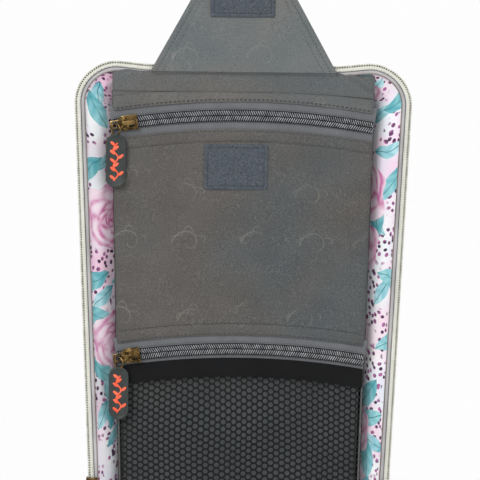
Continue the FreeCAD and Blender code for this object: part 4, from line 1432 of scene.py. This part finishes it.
def linkBar(name, node, place, turn, body, height):
    bar = block((pull["linkLong"], pull["linkWide"], 0.9),
                (-pull["linkLong"] / 2 + 0.4, 0, height))
    squeeze(bar, -6, 0.9)
    cutSlot(bar, block((8.4, 3.3, 3), (-5.1, 0, height)))
    bevelEdges(bar, 0.24, 2)
    pin = roundCord(name + "Pin", 4.6, 0.5, 6)
    pin.rotation_euler = (0, 0, math.radians(90))
    pin.location = (0, -2.3 * mm, height * mm)
    settle(pin)
    piece = joinAll([bar, pin], name)
    smooth(setDown(piece, place, turn), 40)
    finishPiece(piece, body, finish["brass"], (node,))


def ringLoop(name, node, body):
    low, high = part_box(node)
    deselectAll()
    bpy.ops.mesh.primitive_torus_add(location=(low + high) / 2, major_radius=3.4 * mm, minor_radius=0.52 * mm,
                                     major_segments=48, minor_segments=12,
                                     rotation=(math.radians(-90), 0, math.radians(-38)))
    piece = settle(named(name))
    smooth(piece)
    finishPiece(piece, body, finish["brass"], (node,))


def tabMotif(name, front):
    # a wavy stem with leaves and buds, raised a little from the tab's face
    half = pull["motifHalf"]
    curve = bpy.data.curves.new(name, "CURVE")
    curve.dimensions = "3D"
    curve.bevel_depth = 0.46 * mm
    curve.bevel_resolution = 2
    spline = curve.splines.new("NURBS")
    spline.points.add(24)
    for index, point in enumerate(spline.points):
        along = index / 24 * 2 - 1
        point.co = (pull["wave"] * math.sin(along * pull["waves"]) * mm, along * half * mm, 0, 1)
    spline.use_endpoint_u = True
    stem = bpy.data.objects.new(name, curve)
    bpy.context.scene.collection.objects.link(stem)
    pick(stem)
    bpy.ops.object.convert(target="MESH")
    bits = [bpy.context.object]
    for index in range(9):
        along = (index + 0.5) / 9 * 2 - 1
        side = 1 if index % 2 else -1
        deselectAll()
        bpy.ops.mesh.primitive_uv_sphere_add(segments=14, ring_count=8, radius=mm)
        leaf = bpy.context.object
        leaf.scale = (2.0, 0.95, 0.46)
        leaf.rotation_euler = (0, 0, math.radians(side * 38 if side > 0 else 180 - 38))
        stemX = pull["wave"] * math.sin(along * pull["waves"])
        leaf.location = ((stemX + side * 1.75) * mm, (along * half + 0.7) * mm, 0)
        bits.append(settle(leaf))
    piece = joinAll(bits, name)
    piece.scale = (1, 1, 0.8)
    piece.location = (0, 0, front * mm)
    return settle(piece)


def pullTab(name, node, body):
    low, high = boxOf(node)
    wide, long, thick = high.x - low.x, high.z - low.z, high.y - low.y
    centre = planCentre(node)
    tab = block((wide, long, thick), (0, 0, planMiddle(node)))
    bpy.ops.object.mode_set(mode="EDIT")
    bpy.ops.mesh.select_all(action="DESELECT")
    bpy.ops.object.mode_set(mode="OBJECT")
    for edge in tab.data.edges:
        first, second = [tab.data.vertices[index].co for index in edge.vertices]
        edge.select = abs(first.z - second.z) > thick * 0.5 * mm
    bpy.ops.object.mode_set(mode="EDIT")
    bpy.ops.mesh.select_mode(type="EDGE")
    bpy.ops.mesh.bevel(offset=(wide / 2 - 0.15) * mm, segments=12, affect="EDGES")
    bpy.ops.mesh.select_mode(type="FACE")
    bpy.ops.mesh.select_all(action="DESELECT")
    bpy.ops.object.mode_set(mode="OBJECT")
    for polygon in tab.data.polygons:
        polygon.select = abs(polygon.normal.z) > 0.9
    bpy.ops.object.mode_set(mode="EDIT")
    bpy.ops.mesh.inset(thickness=pull["tabRim"] * mm, depth=0)
    bpy.ops.mesh.inset(thickness=0.25 * mm, depth=-pull["tabDip"] * mm)
    bpy.ops.object.mode_set(mode="OBJECT")
    bevelEdges(tab, 0.28, 2)
    tab.name = name
    smooth(setDown(tab, centre), 35)
    finishPiece(tab, body, finish["rubber"], (node,))
    motif = tabMotif(name + "Motif", -low.y - pull["tabDip"] + 0.05)
    smooth(setDown(motif, (centre[0], centre[1] - 0.6)))
    finishPiece(motif, body, finish["orange"])


for label in ("zip1", "zip2"):
    centre = planCentre(label + "_slider")
    turn = -math.asin(centre[0] / organiser["arc"])
    sliderBody(label + "Slider", label + "_slider", turn, label + "_slider_body")
    linkBar(label + "Link", label + "_link", centre, turn, label + "_link_body", planMiddle(label + "_link"))
    ringLoop(label + "Ring", label + "_ring", frame["nodes"][label + "_ring"].parent.name[5:])
    pullTab(label + "PullTab", label + "_pull_tab", frame["nodes"][label + "_pull_tab"].parent.name[5:])
print("sliders and tabs")

# perimeter sliders and their pulls
mainPull = {"long": 15.0, "half": 3.0}
for side, sign in (("left", -1), ("right", 1)):
    height = planCentre("main_slider_" + side)[1]
    place = (sign * (case["rimHalf"] + case["taper"] * height), height)
    turn = -sign * math.atan(case["taper"])
    top = -(boxOf("main_slider_" + side)[0].y + 2.3)
    bits = [block((7.3, 12, 1.0), (-sign * 1.35, 0, top - drop), 0.35, 3) for drop in (0.5, 4.3)]
    bits.append(block((0.9, 12, 4.8), (sign * 1.85, 0, top - 2.4), 0.3, 2))
    arch = block((1.8, 5.2, 2.6), (0, 0, top + 1.0))
    cutSlot(arch, block((4, 3.2, 1.5), (0, 0, top + 0.75), 0.35, 2))
    bits.append(bevelEdges(arch, 0.28, 2))
    slider = joinAll(bits, "mainSlider" + side.capitalize())
    smooth(setDown(slider, place, turn), 40)
    finishPiece(slider, "main_slider_" + side + "_body", finish["brass"],
                ("main_slider_" + side,))
    middle = planMiddle("main_pull_" + side)
    paddle = block((2 * mainPull["half"], mainPull["long"], 0.8),
                   (0, 0.4 - mainPull["long"] / 2, middle))
    for vertex in paddle.data.vertices:
        if vertex.co.y > -1 * mm:
            vertex.co.x *= 0.86
    cutSlot(paddle, block((3.2, 5.2, 3), (0, -3.3, middle), 0.5, 2))
    bevelEdges(paddle, 0.22, 2)
    paddle.name = "mainPull" + side.capitalize()
    smooth(setDown(paddle, place, turn), 40)
    finishPiece(paddle, "main_pull_" + side + "_body", finish["brass"],
                ("main_pull_" + side,))
print("perimeter sliders")

# spine: one strip of cloth across the fold
spine = {"reach": 5.0, "half": 81.0, "arch": 0.8, "cloth": 1.0, "bend": 2.5}


def spineStrip():
    hinge, reach, half = case["hinge"], spine["reach"], spine["half"]

    def place(u, v):
        arch = spine["arch"] * (1 - abs(v * 2 - 1)) + 0.2 * noise.noise((u * 30, v, 0))
        return Vector(((u * 2 - 1) * half, hinge + (v * 2 - 1) * reach, arch + 0.4 - case["tapeBack"])) * mm
    strip = sheetGrid("spineStrip", (110, 16), (2 * half * mm, 2 * reach * mm), place)
    thicken(strip, spine["cloth"])
    smooth(stand(strip))
    paint(strip, finish["floral"])
    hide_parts("spine_hinge", "spine_flange")
    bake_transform(strip)


spineStrip()
print("spine")

# tray in the lower half: lining, net pocket and its elastic
tray = {"liningInset": 17.4, "netInset": 12.0, "netRadius": 19.0, "netFoot": -228.0, "netTop": -7.2,
        "elasticWidth": 7.0}


def toLower(piece, name):
    other = turnedCopy(piece, name)
    bpy.data.objects.remove(piece)
    return other


trayLining = coverSheet("liningPlan", tray["liningInset"], case["backRadius"], case["foot"] + 3,
                        planMiddle("lower_lining"), 1.0, -0.5, (80, 110), 5.0)
trayLining = toLower(trayLining, "trayLining")
finishPiece(trayLining, "lower_half", finish["lining"], ("lower_lining",))
netDepth = boxOf("lower_mesh_pocket")[0].y


def trayInside(x, y):
    half = halfWidth(tray["netInset"], tray["netRadius"], y) - 0.5
    return tray["netFoot"] < y < tray["netTop"] and abs(x) < half


def trayLift(x, y):
    return -netDepth - 0.4 + 0.8 * noise.noise((x * 0.03, y * 0.03, 2))


trayNet = netSheet("netPlan", (-92, tray["netFoot"]), (92, -2), trayInside, trayLift, lambda x, y: (x, y), 6)
trayNet = toLower(trayNet, "trayNet")
finishPiece(trayNet, "lower_half", finish["mesh"], ("lower_mesh_pocket",))

edgeStretches = caseOutline(tray["netInset"], tray["netRadius"], tray["netFoot"])[1:6]
path, length = pathOf("trayEdgePath", stretchPoints(edgeStretches, 30))
trayEdge = bend(ribbon("trayEdgePlan", length, -1.8, 4.6, -netDepth + 0.6, 0.9, (300, 6), 0.3), path)
trayEdge = toLower(stand(trayEdge), "trayNetBinding")
smooth(trayEdge)
finishPiece(trayEdge, "lower_half", finish["blackTrim"])


def elasticBand():
    low, high = boxOf("lower_mesh_elastic")

    def place(u, v):
        x = low.x + (high.x - low.x) * u
        y = tray["netFoot"] - tray["elasticWidth"] + tray["elasticWidth"] * v
        ruffle = 0.35 * math.sin(x * 1.15 + 0.5 * math.sin(y)) * math.sin(math.pi * v)
        return Vector((x, y, -low.y - 1.0 + ruffle + 0.4 * math.sin(math.pi * v))) * mm
    band = sheetGrid("elasticPlan", (320, 12), (0.16, 0.007), place)
    thicken(band, 1.2)
    smooth(stand(band))
    band = toLower(band, "trayElastic")
    finishPiece(band, "lower_half", finish["elastic"], ("lower_mesh_elastic",))


elasticBand()
print("tray")

# boards inside the panels keep their CAD shape
for name in ("upper_stiffener", "lower_stiffener"):
    board = frame["nodes"][name]
    for materialSlot in board.material_slots:
        materialSlot.link = "OBJECT"
        materialSlot.material = finish["board"]
